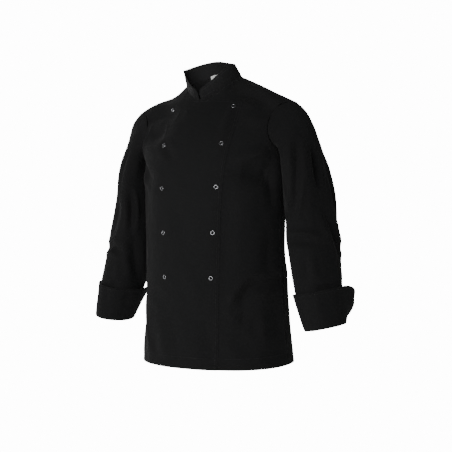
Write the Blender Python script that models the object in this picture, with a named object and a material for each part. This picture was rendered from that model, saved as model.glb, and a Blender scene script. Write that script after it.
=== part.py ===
"""Double-breasted chef jacket, size M, worn and hollow: fronts, back, sleeves, cuffs, collar and studs.

Metres, +Z up. The front faces -Y and the wearer's left is +X. The origin lies between the two
points where the shoulder seams meet the neck, where the wearer's shoulders carry the jacket.

The cloth of the body is one surface. A point of it is found from two numbers: an angle round the
body, 0 at the centre front and 90 degrees at the wearer's left side seam, and a height measured
along the cloth, which runs up to the shoulder ridge. Every panel is a grid of such points, given
a wall's thickness along the surface's normals.
"""

import math

import bmesh
import bpy
import numpy as np

# ---------------------------------------------------------------- driving dimensions, metres
WALL = 0.0016                 # twill with its seam allowances
SEAM_GAP = 0.0006             # between the edges of two panels
LAYER_GAP = 0.0014            # between two layers that lie on each other
HEM = -0.728                  # height of the hem
ARMPIT = -0.200               # height of the side seam's top
NECK_HALF_WIDTH = 0.082       # shoulder seam's neck end, from the centre
SHOULDER_RISE = 0.0413        # ridge height above the centre, before the slope
SHOULDER_SLOPE = 0.488        # fall of the shoulder ridge per metre across
SHOULDER_ROUND = 0.03         # how softly the two slopes meet behind the neck
RIGHT_SAG = 0.020             # the right shoulder's hollow beside the collar
RIGHT_SAG_AT = 0.114          # its place and half width, from the centre
RIGHT_SAG_WIDTH = 0.050
RIDGE = 0.067                 # height along the cloth of the shoulder ridge
SECTION_POWER = 2.25          # 2 is an ellipse, more is squarer
OVERLAP_CLEAR = 0.004         # how far past the right front's edge the left one stays sunk
OVERLAP_BLEND = 0.035         # width over which it rises again, across
OVERLAP_TOP = -0.062          # height from which it rises, above the flap
OVERLAP_TOP_BLEND = 0.026
BODY_RADIUS = 0.175           # turns angles round the body, sleeve and cuff into lengths
SLEEVE_RADIUS = 0.065
CUFF_RADIUS = 0.056
CREASE_ENDS = 0.35            # a crease's depth at its ends, as a share of its middle's
CREASE_TOP = -0.02            # the body's creases end here, and fade over this height
CREASE_FADE = 0.06
TURN_STEP, HEIGHT_STEP = 0.5, 0.002  # degrees and metres to both sides that a normal is read from

COLLAR_WALL = 0.0022
COLLAR_LEAN = 0.20            # inward lean of the stand, per metre of height
COLLAR_FORWARD = 0.45         # forward lean of the whole stand, per metre of height
COLLAR_ASIDE = 0.12           # its lean to the wearer's right
COLLAR_TILT = 0.16            # share by which it stands higher on the right and lower on the left
COLLAR_FRONT = 0.028          # stand's width at the front
COLLAR_BACK = 0.0360          # stand's width at the back
COLLAR_FULL = 0.75            # share of the way round to the back from which it has that width
COLLAR_CORNER = 0.016         # radius of the front corners
COLLAR_START = 0.0025         # the stand's ends from the centre
COLLAR_SEAT = 0.0012          # its foot above the neck's edge
COLLAR_ROWS = 4

CAP_OUT, CAP_FALL = 0.8, 0.2  # lean of the sleeve cap where it leaves the armhole
CAP_FULLNESS = 0.8            # how far the cap's curve carries, as a share of its length
CAP_UNDER = 0.6               # how much less it leads out of the armhole underneath
CAP_HOLD = 3.0                # rows over which the wall turns from the panel's to its own
SLEEVE_CALM = 4.0             # rows without full creases at both ends
CUFF_CALM = 3.0

CUFF_DEPTH = 0.088            # turned-back depth, fold to free edge
CUFF_CLEAR = 0.0028           # between the sleeve and the turned-back layer
CUFF_CORNER = 0.060           # radius of the corners at the slit
CUFF_SLIT = 282.0             # degrees round the sleeve, behind and a little outward
CUFF_SLIT_HALF = 5.0          # degrees each side of the slit
CUFF_LOOSE = 0.0025           # how far the free edge stands off, away from the slit
CUFF_WING = 0.046             # how much further beside the slit
CUFF_WING_WIDTH = 0.034
CUFF_CURL = 0.8               # power of the way up over which they grow
CUFF_COLUMNS = 25
CUFF_INNER_ROWS, CUFF_FOLD_ROWS, CUFF_OUTER_ROWS = 3, 3, 5
CUFF_BUNCHING = 0.6           # how much closer the columns stand beside the slit

STUD_OUTER = 0.0056           # ring's outer radius
STUD_INNER = 0.0027           # ring's hole radius
STUD_HEIGHT = 0.0016
STUD_SHOULDER = 0.0009        # height of its sides, and how far they lean in
STUD_DRAFT = 0.0004
STUD_STEPS = 12
STUD_SEAT = 0.0004            # the ring's foot above the cloth

LABEL_WIDTH = 0.046
LABEL_DROP = 0.020            # how far it hangs below the neck seam
LABEL_SHIFT = -0.015          # it is sewn off the centre, to the wearer's right
LABEL_WALL = 0.0010
LABEL_CLEAR = 0.0014          # between the label and the collar
LABEL_TOP = 0.006             # how far it reaches up the collar
LABEL_HANG = 0.25             # how far its loose part stands forward, per metre down
LABEL_ROWS, LABEL_COLUMNS = 4, 6

CLOTH = (0.012, 0.012, 0.013)
STEEL = (0.62, 0.62, 0.64)
TAPE = (0.55, 0.55, 0.54)


def table(columns, *rows):
    """A short table whose columns are read by name, sorted by its first column."""
    return np.array(sorted(rows), dtype=[(name, float) for name in columns.split()])


# Horizontal sections of the body. Above the armpit the height runs along the cloth.
BODY = table(
    "height half_width front back shift",
    (-0.740, 0.209, 0.146, 0.129, -0.020),
    (-0.650, 0.201, 0.144, 0.125, -0.018),
    (-0.560, 0.196, 0.145, 0.120, -0.015),
    (-0.470, 0.193, 0.145, 0.116, -0.012),
    (-0.380, 0.192, 0.143, 0.112, -0.008),
    (-0.290, 0.195, 0.140, 0.114, -0.003),
    (-0.200, 0.203, 0.129, 0.122, 0.003),
    (-0.130, 0.213, 0.106, 0.127, 0.005),
    (-0.060, 0.234, 0.083, 0.132, 0.006),
    (0.010, 0.255, 0.074, 0.139, 0.006),
    (0.080, 0.271, 0.070, 0.145, 0.006),
)

# Armholes: share of the way from the armpit to the shoulder ridge, and how far out the edge
# lies as a share of the section's half width.
ARMHOLE_FRONT = table(
    "share reach",
    (0.00, 1.000), (0.04, 0.975), (0.12, 0.925), (0.25, 0.865),
    (0.45, 0.825), (0.70, 0.840), (1.00, 0.893),
)
ARMHOLE_BACK = table(
    "share reach",
    (0.00, 1.000), (0.04, 0.980), (0.12, 0.945), (0.25, 0.905),
    (0.45, 0.870), (0.70, 0.865), (1.00, 0.893),
)

# Front closure: how far each front passes the centre, and the top edge of what passes it.
CLOSURE = table(
    "height reach",
    (-0.740, 0.080), (-0.500, 0.088), (-0.250, 0.098), (-0.120, 0.112), (0.000, 0.114),
)
FRONT_NECK_DROP = 0.152       # along the cloth, from the ridge down to the centre front
BACK_NECK_DROP = 0.066
NECK_SQUARE, NECK_ROUND = 2.2, 0.62  # powers of the neck's curve, at the centre and the side
FLAP_RISE = 0.020             # the flap's top corner above the centre front, along the cloth
FLAP_CURVE = 0.8              # power of its top edge

# Studs: height along the cloth, distance of both columns from the centre, and how far the right
# one stands above that height and the left one below it.
STUDS = table(
    "height right left lift",
    (-0.0767, 0.0945, 0.0944, 0.0087),
    (-0.1728, 0.0865, 0.0865, 0.0020),
    (-0.2786, 0.0808, 0.0808, 0.0000),
    (-0.3914, 0.0741, 0.0741, 0.0000),
    (-0.5016, 0.0677, 0.0677, 0.0000),
)

# Sleeve sections from the biceps down, for the wearer's left: height and place of the centre,
# half sizes across and front to back, and how much the outer side is raised.
SLEEVE = table(
    "height x y across deep tilt",
    (-0.262, 0.2505, 0.016, 0.0470, 0.0860, 0.20),
    (-0.330, 0.2600, 0.014, 0.0550, 0.0810, 0.20),
    (-0.400, 0.2700, 0.006, 0.0610, 0.0760, 0.19),
    (-0.470, 0.2830, -0.008, 0.0600, 0.0720, 0.18),
    (-0.540, 0.2985, -0.024, 0.0550, 0.0660, 0.18),
    (-0.640, 0.3240, -0.040, 0.0435, 0.0540, 0.18),
)
SLEEVE_SEAM = -0.588          # height of the sleeve's end, inside the turned-back cuff
CUFF_FOLD = -0.626            # height of the cuff's fold

# Creases: both ends as angle and height, half width and depth. A ridge has a negative depth.
BODY_CREASES = table(
    "angle_1 height_1 angle_2 height_2 width depth",
    (62.0, -0.215, 40.0, -0.265, 0.024, 0.0070),
    (70.0, -0.230, 62.0, -0.400, 0.022, 0.0060),
    (88.0, -0.410, 52.0, -0.520, 0.024, 0.0070),
    (52.0, -0.520, 40.0, -0.640, 0.026, 0.0050),
    (40.0, -0.040, 66.0, -0.130, 0.018, 0.0035),
    (-60.0, -0.215, -44.0, -0.300, 0.022, 0.0060),
    (-80.0, -0.440, -56.0, -0.560, 0.026, 0.0050),
    (0.0, -0.600, 24.0, -0.700, 0.030, 0.0030),
    (118.0, -0.215, 150.0, -0.330, 0.026, 0.0070),
    (-122.0, -0.225, -152.0, -0.350, 0.026, 0.0060),
    (106.0, -0.420, 140.0, -0.560, 0.028, 0.0060),
    (-104.0, -0.440, -136.0, -0.590, 0.028, 0.0060),
    (172.0, -0.400, 160.0, -0.700, 0.034, 0.0050),
    (-150.0, -0.480, -166.0, -0.720, 0.034, 0.0045),
)
# On a sleeve the angle is 0 on the outer side, 90 at the front and 180 towards the body.
LEFT_SLEEVE_CREASES = table(
    "angle_1 height_1 angle_2 height_2 width depth",
    (78.0, -0.190, 86.0, -0.330, 0.012, 0.0070),
    (36.0, -0.190, 44.0, -0.300, 0.012, 0.0065),
    (150.0, -0.400, 92.0, -0.425, 0.014, 0.0065),
    (60.0, -0.420, 70.0, -0.560, 0.016, 0.0040),
    (-40.0, -0.210, -30.0, -0.360, 0.016, 0.0060),
    (-100.0, -0.390, -40.0, -0.430, 0.014, 0.0055),
    (-80.0, -0.450, -70.0, -0.570, 0.016, 0.0045),
    (170.0, -0.260, 130.0, -0.340, 0.014, 0.0045),
)
RIGHT_SLEEVE_CREASES = table(
    "angle_1 height_1 angle_2 height_2 width depth",
    (116.0, -0.300, 104.0, -0.440, 0.013, 0.0075),
    (150.0, -0.330, 128.0, -0.420, 0.012, 0.0060),
    (176.0, -0.470, 166.0, -0.525, 0.026, 0.0070),
    (122.0, -0.440, 132.0, -0.560, 0.016, 0.0070),
    (60.0, -0.420, 20.0, -0.390, 0.016, 0.0035),
    (-36.0, -0.200, -28.0, -0.340, 0.016, 0.0060),
    (-110.0, -0.400, -50.0, -0.440, 0.014, 0.0055),
    (-70.0, -0.460, -64.0, -0.570, 0.016, 0.0045),
)


# ---------------------------------------------------------------- reading the tables
def read(rows, column, at):
    """A smooth curve through one column of a table, over its first column."""
    grid = rows[rows.dtype.names[0]]
    value = rows[column]
    slope = np.gradient(value, grid)
    at = np.clip(at, grid[0], grid[-1])
    i = np.clip(np.searchsorted(grid, at, side="right") - 1, 0, len(grid) - 2)
    step = grid[i + 1] - grid[i]
    t = (at - grid[i]) / step
    return (
        (1 + 2 * t) * (1 - t) ** 2 * value[i]
        + t * (1 - t) ** 2 * step * slope[i]
        + t * t * (3 - 2 * t) * value[i + 1]
        - t * t * (1 - t) * step * slope[i + 1]
    )


def ease(t):
    """0 to 1 with level ends."""
    t = np.clip(t, 0.0, 1.0)
    return t * t * (3 - 2 * t)


def unit(vectors):
    return vectors / np.maximum(np.linalg.norm(vectors, axis=-1, keepdims=True), 1e-12)


def crease_depth(rows, angle, height, radius):
    """How far the creases in a table press the cloth in, at angles in degrees and heights."""
    angle, height = np.broadcast_arrays(angle, height)
    depth = np.zeros(angle.shape)
    arc = math.radians(radius)
    for row in rows:
        run = np.array([(row["angle_2"] - row["angle_1"]) * arc, row["height_2"] - row["height_1"]])
        across = (angle - row["angle_1"] + 180.0) % 360.0 - 180.0
        away = np.stack([across * arc, height - row["height_1"]], axis=-1)
        share = np.clip(away @ run / (run @ run), 0.0, 1.0)
        gap = np.linalg.norm(away - share[..., None] * run, axis=-1)
        taper = CREASE_ENDS + (1.0 - CREASE_ENDS) * np.sin(math.pi * share)
        depth = depth + row["depth"] * taper * np.exp(-((gap / row["width"]) ** 2))
    return depth


# ---------------------------------------------------------------- the body's surface
def ridge_height(x):
    """Height of the shoulder ridge above a place across the body."""
    sag = RIGHT_SAG * np.exp(-(((x + RIGHT_SAG_AT) / RIGHT_SAG_WIDTH) ** 2))
    return SHOULDER_RISE - SHOULDER_SLOPE * np.sqrt(x * x + SHOULDER_ROUND**2) - sag


def smooth_body(angle, height):
    """Points of the body's outer surface before its creases."""
    turn = np.radians(angle)
    power = 2.0 / SECTION_POWER
    sine, cosine = np.sin(turn), np.cos(turn)
    x = read(BODY, "half_width", height) * np.sign(sine) * np.abs(sine) ** power
    depth = np.where(cosine > 0, read(BODY, "front", height), read(BODY, "back", height))
    y = -depth * np.sign(cosine) * np.abs(cosine) ** power
    rise = np.clip((height - ARMPIT) / (RIDGE - ARMPIT), 0.0, 1.1) * math.pi / 2
    y = y * np.cos(rise) + read(BODY, "shift", height)
    z = np.where(height > ARMPIT, ARMPIT + (ridge_height(x) - ARMPIT) * np.sin(rise), height)
    return np.stack([x, y, z], axis=-1)


def body_normals(angle, height):
    """Outward unit normals of the uncreased body."""
    across = smooth_body(angle + TURN_STEP, height) - smooth_body(angle - TURN_STEP, height)
    up = smooth_body(angle, height + HEIGHT_STEP) - smooth_body(angle, height - HEIGHT_STEP)
    return unit(np.cross(across, up))


def body_surface(angle, height, offset=0.0):
    """Points of the creased body, moved out by an offset."""
    angle, height = np.broadcast_arrays(np.asarray(angle, float), np.asarray(height, float))
    sink = crease_depth(BODY_CREASES, angle, height, BODY_RADIUS)
    sink = sink * ease((CREASE_TOP - height) / CREASE_FADE)
    shift = np.asarray(offset) - sink
    return smooth_body(angle, height) + body_normals(angle, height) * shift[..., None]


def angle_at(x, height):
    """The angle, in degrees, at which the body's surface lies at x on the front or the back."""
    share = np.clip(np.abs(x) / read(BODY, "half_width", height), 0.0, 1.0)
    return np.sign(x) * np.degrees(np.arcsin(share ** (SECTION_POWER / 2.0)))


# ---------------------------------------------------------------- panels of the body
FLAP_COLUMNS, NECK_COLUMNS, SHOULDER_COLUMNS = 4, 7, 6
LOW_ROWS, HIGH_ROWS = 16, 10
CLIMB_START = 0.65            # the lowest armhole row's height, as a share of an even one's


def neck_edge(share, drop):
    """Height along the cloth of the neck's edge, from the centre (0) to the shoulder seam (1)."""
    return RIDGE - drop * (1.0 - share**NECK_SQUARE) ** NECK_ROUND


def climb(row):
    """Share of the way from the armpit to the shoulder seam at a row; the lowest rows lie closer."""
    share = max(row - LOW_ROWS, 0) / HIGH_ROWS
    return (1.0 - CLIMB_START) * share**2 + CLIMB_START * share


def armhole_edge(armhole, high):
    """Angle from the centre line of a panel's outer edge, at a share of the armhole's height."""
    side = math.radians(90.0 - math.degrees(SEAM_GAP / 2 / BODY["half_width"].mean()))
    reach = read(armhole, "reach", high) * math.sin(side)
    return np.degrees(np.arcsin(reach ** (SECTION_POWER / 2.0)))


def half_panel(armhole, neck_drop, flap):
    """Angles from the centre line and heights of a panel's grid, centre edge first.

    The rows run from the hem to the armpit and on to the neck's edge and the shoulder seam.
    """
    top = RIDGE - SEAM_GAP / 2
    seam_columns = NECK_COLUMNS + SHOULDER_COLUMNS
    neck_run = np.sin(np.linspace(0.0, math.pi / 2, NECK_COLUMNS + 1))
    tip = read(armhole, "reach", 1.0)
    neck_share = NECK_HALF_WIDTH / read(BODY, "half_width", top)
    top_share = np.concatenate([
        neck_share * neck_run,
        np.linspace(neck_share, tip, SHOULDER_COLUMNS + 1)[1:],
    ])
    top_height = np.concatenate([
        np.minimum(neck_edge(neck_run, neck_drop), top),
        np.full(SHOULDER_COLUMNS, top),
    ])
    angles, heights = [], []
    for row in range(LOW_ROWS + HIGH_ROWS + 1):
        low = min(row / LOW_ROWS, 1.0)
        high = climb(row)
        column_height = HEM + (ARMPIT - HEM) * low + (top_height - ARMPIT) * high
        even = np.linspace(0.0, 1.0, seam_columns + 1)
        spread = angle_at(top_share * read(BODY, "half_width", top), top)
        spread = spread / spread[-1]
        share = even + (spread - even) * ease(high)
        column_angle = armhole_edge(armhole, high) * share
        if flap:
            centre = column_height[0]
            corner = centre + FLAP_RISE * high
            flap_share = np.linspace(1.0, 0.0, FLAP_COLUMNS + 1)[:-1]
            flap_height = centre + (corner - centre) * flap_share**FLAP_CURVE
            flap_angle = -angle_at(read(CLOSURE, "reach", flap_height) * flap_share, flap_height)
            column_angle = np.concatenate([flap_angle, column_angle])
            column_height = np.concatenate([flap_height, column_height])
        angles.append(column_angle)
        heights.append(column_height)
    return np.array(angles), np.array(heights)


def front_grid(side):
    """Angles and heights of a front panel; side is +1 for the wearer's left, -1 for the right."""
    angle, height = half_panel(ARMHOLE_FRONT, FRONT_NECK_DROP, flap=True)
    return side * angle, height


def front_offset(side, angle, height):
    """Offset of a front's outer face: the left one dips where the right one covers it."""
    if side < 0:
        return np.zeros_like(angle)
    free_edge = angle_at(read(CLOSURE, "reach", height), height)
    past = np.radians(angle - free_edge) * read(BODY, "front", height)
    across = ease(1.0 - (past - OVERLAP_CLEAR) / OVERLAP_BLEND)
    return -(WALL + LAYER_GAP) * across * ease(1.0 - (height - OVERLAP_TOP) / OVERLAP_TOP_BLEND)


def back_grid():
    """Angles and heights of the back panel, from the wearer's left side seam to the right one."""
    angle, height = half_panel(ARMHOLE_BACK, BACK_NECK_DROP, flap=False)
    angle = np.concatenate([180.0 - angle[:, ::-1], 180.0 + angle[:, 1:]], axis=1)
    height = np.concatenate([height[:, ::-1], height[:, 1:]], axis=1)
    return angle, height


# ---------------------------------------------------------------- meshes
def make_object(name, points, faces, material):
    """An object from points and faces, closed and with its faces pointing out."""
    mesh = bpy.data.meshes.new(name)
    mesh.from_pydata([tuple(p) for p in points], [], [tuple(f) for f in faces])
    shape = bmesh.new()
    shape.from_mesh(mesh)
    bmesh.ops.recalc_face_normals(shape, faces=shape.faces)
    if shape.calc_volume(signed=True) < 0:
        bmesh.ops.reverse_faces(shape, faces=shape.faces)
    shape.to_mesh(mesh)
    shape.free()
    mesh.shade_smooth()
    mesh.set_sharp_from_angle(angle=math.radians(50))
    mesh.materials.append(material)
    thing = bpy.data.objects.new(name, mesh)
    bpy.context.collection.objects.link(thing)
    return thing


def wall_object(name, outer, inner, material, closed=False):
    """A wall between two grids of points; a closed one joins its last column to its first."""
    rows, columns = outer.shape[:2]
    points = np.concatenate([outer.reshape(-1, 3), inner.reshape(-1, 3)])
    under = rows * columns
    spans = columns if closed else columns - 1
    faces = []

    def at(row, column, base=0):
        return base + row * columns + column % columns

    for row in range(rows - 1):
        for column in range(spans):
            a, b = at(row, column), at(row, column + 1)
            c, d = at(row + 1, column + 1), at(row + 1, column)
            faces.append((a, b, c, d))
            faces.append((d + under, c + under, b + under, a + under))
    for column in range(spans):
        low, low_next = at(0, column), at(0, column + 1)
        high, high_next = at(rows - 1, column), at(rows - 1, column + 1)
        faces.append((low, low + under, low_next + under, low_next))
        faces.append((high, high_next, high_next + under, high + under))
    if not closed:
        for row in range(rows - 1):
            first, first_up = at(row, 0), at(row + 1, 0)
            last, last_up = at(row, columns - 1), at(row + 1, columns - 1)
            faces.append((first, first_up, first_up + under, first + under))
            faces.append((last, last + under, last_up + under, last_up))
    return make_object(name, points, faces, material)


def grid_normals(points, closed=False):
    """Unit normals of a grid of points; rows run along it and columns across."""
    if closed:
        across = np.roll(points, -1, axis=1) - np.roll(points, 1, axis=1)
    else:
        across = np.gradient(points, axis=1)
    return unit(np.cross(across, np.gradient(points, axis=0)))


def material_of(name, colour, roughness, metallic=0.0):
    material = bpy.data.materials.new(name)
    material.use_nodes = True
    shader = material.node_tree.nodes["Principled BSDF"]
    shader.inputs["Base Color"].default_value = (*colour, 1.0)
    shader.inputs["Roughness"].default_value = roughness
    shader.inputs["Metallic"].default_value = metallic
    return material


def body_panel(name, angle, height, offset, material):
    outer = body_surface(angle, height, offset)
    inner = body_surface(angle, height, offset - WALL)
    return wall_object(name, outer, inner, material)


# ---------------------------------------------------------------- sleeves and cuffs
CAP_ROWS, ARM_ROWS = 9, 13


def armhole_loop(side):
    """The armhole's edge from the shoulder tip down the front and up the back.

    Returns the panels' outer and inner edge points, the directions in the cloth that lead out of
    the panels, and the sleeve's turn at each point, 0 on the outer side and a quarter in front.
    """
    top = RIDGE - SEAM_GAP / 2
    share = np.array([climb(LOW_ROWS + row) for row in range(HIGH_ROWS + 1)])
    height = ARMPIT + (top - ARMPIT) * share
    front = armhole_edge(ARMHOLE_FRONT, share)[::-1]
    back = 180.0 - armhole_edge(ARMHOLE_BACK, share)
    angle = side * np.concatenate([front, back[1:-1]])
    height = np.concatenate([height[::-1], height[1:-1]])
    outer, inner = body_surface(angle, height), body_surface(angle, height, -WALL)
    along = unit(np.roll(outer, -1, axis=0) - np.roll(outer, 1, axis=0))
    out = unit(np.cross(outer - inner, along)) * side
    step = np.linalg.norm(np.roll(outer, -1, axis=0) - outer, axis=1)
    length = np.concatenate([[0.0], np.cumsum(step)])
    turn = np.interp(length[:-1], [0.0, length[HIGH_ROWS], length[-1]], [0.0, math.pi, 2 * math.pi])
    return outer, inner, out, turn


def sleeve_ring(side, height, turn, grow=0.0):
    """Points of a sleeve's section; turn is in radians, 0 on the outer side, 90 degrees in front."""
    x = read(SLEEVE, "x", height) + (read(SLEEVE, "across", height) + grow) * np.cos(turn)
    y = read(SLEEVE, "y", height) - (read(SLEEVE, "deep", height) + grow) * np.sin(turn)
    z = height + read(SLEEVE, "tilt", height) * (x - read(SLEEVE, "x", height))
    return np.stack(np.broadcast_arrays(side * x, y, z), axis=-1)


def build_sleeve(side, name, material):
    """A set-in sleeve from the armhole over the cap and down to the cuff's seam."""
    edge_outer, edge_inner, out, turn = armhole_loop(side)
    first = SLEEVE["height"].max()
    biceps = sleeve_ring(side, first, turn)
    fall = unit(sleeve_ring(side, SLEEVE["height"][-2], turn) - biceps)
    under = (1.0 - np.cos(turn))[:, None] / 2
    start = edge_outer + out * SEAM_GAP
    lead = unit(out * (1.0 - CAP_UNDER * under) + np.array([side * CAP_OUT, 0.0, -CAP_FALL]))
    span = np.linalg.norm(biceps - start, axis=1, keepdims=True) * CAP_FULLNESS
    rows = []
    for row in range(CAP_ROWS):
        t = row / CAP_ROWS
        rows.append(
            (1 + 2 * t) * (1 - t) ** 2 * start
            + t * (1 - t) ** 2 * span * lead
            + t * t * (3 - 2 * t) * biceps
            - t * t * (1 - t) * span * fall
        )
    rows += [sleeve_ring(side, height, turn) for height in np.linspace(first, SLEEVE_SEAM, ARM_ROWS + 1)]
    points = np.array(rows)
    order = np.arange(len(points))
    creases = LEFT_SLEEVE_CREASES if side > 0 else RIGHT_SLEEVE_CREASES
    sink = crease_depth(creases, np.degrees(turn)[None, :], points[..., 2], SLEEVE_RADIUS)
    sink = sink * (ease(order / SLEEVE_CALM) * ease((order[-1] - order) / CUFF_CALM))[:, None]
    normals = grid_normals(points, closed=True) * -side
    outer = points - normals * sink[..., None]
    hold = ease(order / CAP_HOLD)[:, None, None]
    inward = unit((edge_inner - edge_outer)[None] * (1.0 - hold) / WALL - normals * hold)
    return wall_object(name, outer, outer + inward * WALL, material, closed=True)


def build_cuff(side, name, material):
    """A split cuff: up inside from the sleeve's seam, round the fold and back up outside."""
    slit = math.radians(CUFF_SLIT)
    half = math.radians(CUFF_SLIT_HALF)
    even = np.linspace(0.0, 1.0, CUFF_COLUMNS)
    close = 0.5 - 0.5 * np.cos(math.pi * even)
    spread = (1.0 - CUFF_BUNCHING) * even + CUFF_BUNCHING * close
    turn = slit + half + (2 * math.pi - 2 * half) * spread
    from_slit = (np.minimum(turn - slit, slit + 2 * math.pi - turn) - half) * CUFF_RADIUS
    corner = np.clip(1.0 - from_slit / CUFF_CORNER, 0.0, 1.0)
    cut_back = CUFF_CORNER * (1.0 - np.sqrt(1.0 - corner**2))
    flare = CUFF_LOOSE + CUFF_WING * np.exp(-((from_slit / CUFF_WING_WIDTH) ** 2))
    rows = []
    inner_top = SLEEVE_SEAM - SEAM_GAP
    bend = (CUFF_CLEAR + WALL) / 2
    for height in np.linspace(inner_top, CUFF_FOLD + bend, CUFF_INNER_ROWS):
        rows.append(sleeve_ring(side, height, turn))
    for arc in np.linspace(0.0, math.pi, CUFF_FOLD_ROWS + 2)[1:-1]:
        height = CUFF_FOLD + bend - bend * math.sin(arc)
        rows.append(sleeve_ring(side, height, turn, grow=bend * (1 - math.cos(arc))))
    for share in np.linspace(0.0, 1.0, CUFF_OUTER_ROWS):
        height = CUFF_FOLD + bend + (CUFF_DEPTH - bend - cut_back) * share
        swell = 2 * bend + flare * share**CUFF_CURL
        rows.append(sleeve_ring(side, height, turn, grow=swell))
    middle = np.array(rows)
    normals = grid_normals(middle)
    return wall_object(name, middle + normals * WALL / 2, middle - normals * WALL / 2, material)


# ---------------------------------------------------------------- collar, studs and label
COLLAR_END_STEPS = (0.0025, 0.006, 0.010, 0.015)  # closer columns round the front corners


def neck_loop():
    """The panels' edge points round the neck, from the centre front by the right and back again."""
    share = np.sin(np.linspace(0.0, math.pi / 2, NECK_COLUMNS + 1))
    share = np.concatenate([share, share[-2::-1]])
    front = np.arange(len(share)) <= NECK_COLUMNS
    top = RIDGE - SEAM_GAP / 2
    drop = np.where(front, FRONT_NECK_DROP, BACK_NECK_DROP)
    height = np.minimum(neck_edge(share, drop), top)
    side_x = NECK_HALF_WIDTH * share
    widen = read(BODY, "half_width", height) / read(BODY, "half_width", top)
    angle = angle_at(side_x * widen, height)
    angle = np.where(front, angle, 180.0 - angle)
    angle = np.concatenate([-angle, angle[-2::-1]])
    height = np.concatenate([height, height[-2::-1]])
    return smooth_body(angle, height)


def collar_base():
    """The stand's foot: the neck's edge points, with closer ones at both ends."""
    loop = neck_loop()
    length = np.concatenate([[0.0], np.cumsum(np.linalg.norm(np.diff(loop, axis=0), axis=1))])
    ends = COLLAR_START + np.array(COLLAR_END_STEPS)
    ends = np.concatenate([[COLLAR_START], ends])
    stops = np.unique(np.concatenate([ends, length[1:-1], length[-1] - ends]))
    base = np.stack([np.interp(stops, length, loop[:, axis]) for axis in range(3)], axis=-1)
    from_end = np.minimum(stops, length[-1] - stops) - COLLAR_START
    return base, from_end


def collar_seat():
    """The stand's foot with its level directions to the inside, its lean and its way from the ends."""
    base, from_end = collar_base()
    inward = unit((base.mean(axis=0) - base) * np.array([1.0, 1.0, 0.0]))
    seat = base + inward * COLLAR_WALL / 2 + np.array([0.0, 0.0, COLLAR_SEAT])
    lean = inward * COLLAR_LEAN + np.array([-COLLAR_ASIDE, -COLLAR_FORWARD, 1.0])
    return seat, inward, lean, from_end


def build_collar(material):
    """A stand collar on the neck's edge, leaning forward with the neck, its front corners round."""
    seat, _, lean, from_end = collar_seat()
    full = from_end / (COLLAR_FULL * from_end.max())
    stand = COLLAR_FRONT + (COLLAR_BACK - COLLAR_FRONT) * ease(full)
    stand = stand * (1.0 - COLLAR_TILT * seat[:, 0] / NECK_HALF_WIDTH)
    corner = np.clip(1.0 - from_end / COLLAR_CORNER, 0.0, 1.0)
    stand = stand - COLLAR_CORNER * (1.0 - np.sqrt(1.0 - corner**2))
    rows = []
    for share in np.linspace(0.0, 1.0, COLLAR_ROWS):
        rows.append(seat + (stand * share)[:, None] * lean)
    middle = np.array(rows)
    half = grid_normals(middle) * COLLAR_WALL / 2
    return wall_object("collar", middle + half, middle - half, material)


def build_stud(name, angle, height, material):
    """A ring stud seated on the right front: a half-round ring turned about the normal."""
    seat = body_surface(angle, height, STUD_SEAT)
    normal = unit(body_normals(np.asarray(angle), np.asarray(height)))
    across = unit(np.cross(normal, np.array([0.0, 0.0, 1.0])))
    up = np.cross(across, normal)
    profile = (
        (STUD_INNER, 0.0),
        (STUD_OUTER, 0.0),
        (STUD_OUTER - STUD_DRAFT, STUD_SHOULDER),
        ((STUD_INNER + STUD_OUTER) / 2, STUD_HEIGHT),
        (STUD_INNER + STUD_DRAFT, STUD_SHOULDER),
    )
    points, faces = [], []
    for step in range(STUD_STEPS):
        turn = 2 * math.pi * step / STUD_STEPS
        spoke = across * math.cos(turn) + up * math.sin(turn)
        points += [seat + spoke * radius + normal * rise for radius, rise in profile]
    count = len(profile)
    for step in range(STUD_STEPS):
        here, there = step * count, (step + 1) % STUD_STEPS * count
        for k in range(count):
            faces.append((here + k, here + (k + 1) % count, there + (k + 1) % count, there + k))
    return make_object(name, points, faces, material)


def build_label(material):
    """A plain label sewn to the collar's inner face at the back, its lower part hanging loose."""
    seat, inward, lean, _ = collar_seat()
    length = np.concatenate([[0.0], np.cumsum(np.linalg.norm(np.diff(seat, axis=0), axis=1))])
    stops = length[-1] / 2 + LABEL_SHIFT + np.linspace(-LABEL_WIDTH / 2, LABEL_WIDTH / 2, LABEL_COLUMNS)

    def along(points):
        return np.stack([np.interp(stops, length, points[:, axis]) for axis in range(3)], axis=-1)

    inward = along(inward)
    foot = along(seat) + inward * (COLLAR_WALL / 2 + LABEL_CLEAR)
    rows = []
    for rise in np.linspace(-LABEL_DROP, LABEL_TOP, LABEL_ROWS):
        way = along(lean) if rise > 0 else np.array([0.0, LABEL_HANG, 1.0])
        rows.append(foot + rise * way)
    outer = np.array(rows)
    return wall_object("neck_label", outer, outer + inward * LABEL_WALL, material)


def main():
    for thing in list(bpy.data.objects):
        bpy.data.objects.remove(thing)
    cloth = material_of("twill", CLOTH, 0.8)
    steel = material_of("steel", STEEL, 0.25, metallic=1.0)
    tape = material_of("tape", TAPE, 0.7)
    for side, name in ((-1, "front_right"), (1, "front_left")):
        angle, height = front_grid(side)
        body_panel(name, angle, height, front_offset(side, angle, height), cloth)
    angle, height = back_grid()
    body_panel("back", angle, height, np.zeros_like(angle), cloth)
    for side, word in ((-1, "right"), (1, "left")):
        build_sleeve(side, f"sleeve_{word}", cloth)
        build_cuff(side, f"cuff_{word}", cloth)
    build_collar(cloth)
    for number, row in enumerate(STUDS, start=1):
        for word, side in (("right", -1), ("left", 1)):
            height = np.asarray(row["height"] - side * row["lift"])
            place = angle_at(side * row[word], height)
            build_stud(f"stud_{word}_{number}", place, height, steel)
    build_label(tape)


main()
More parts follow.
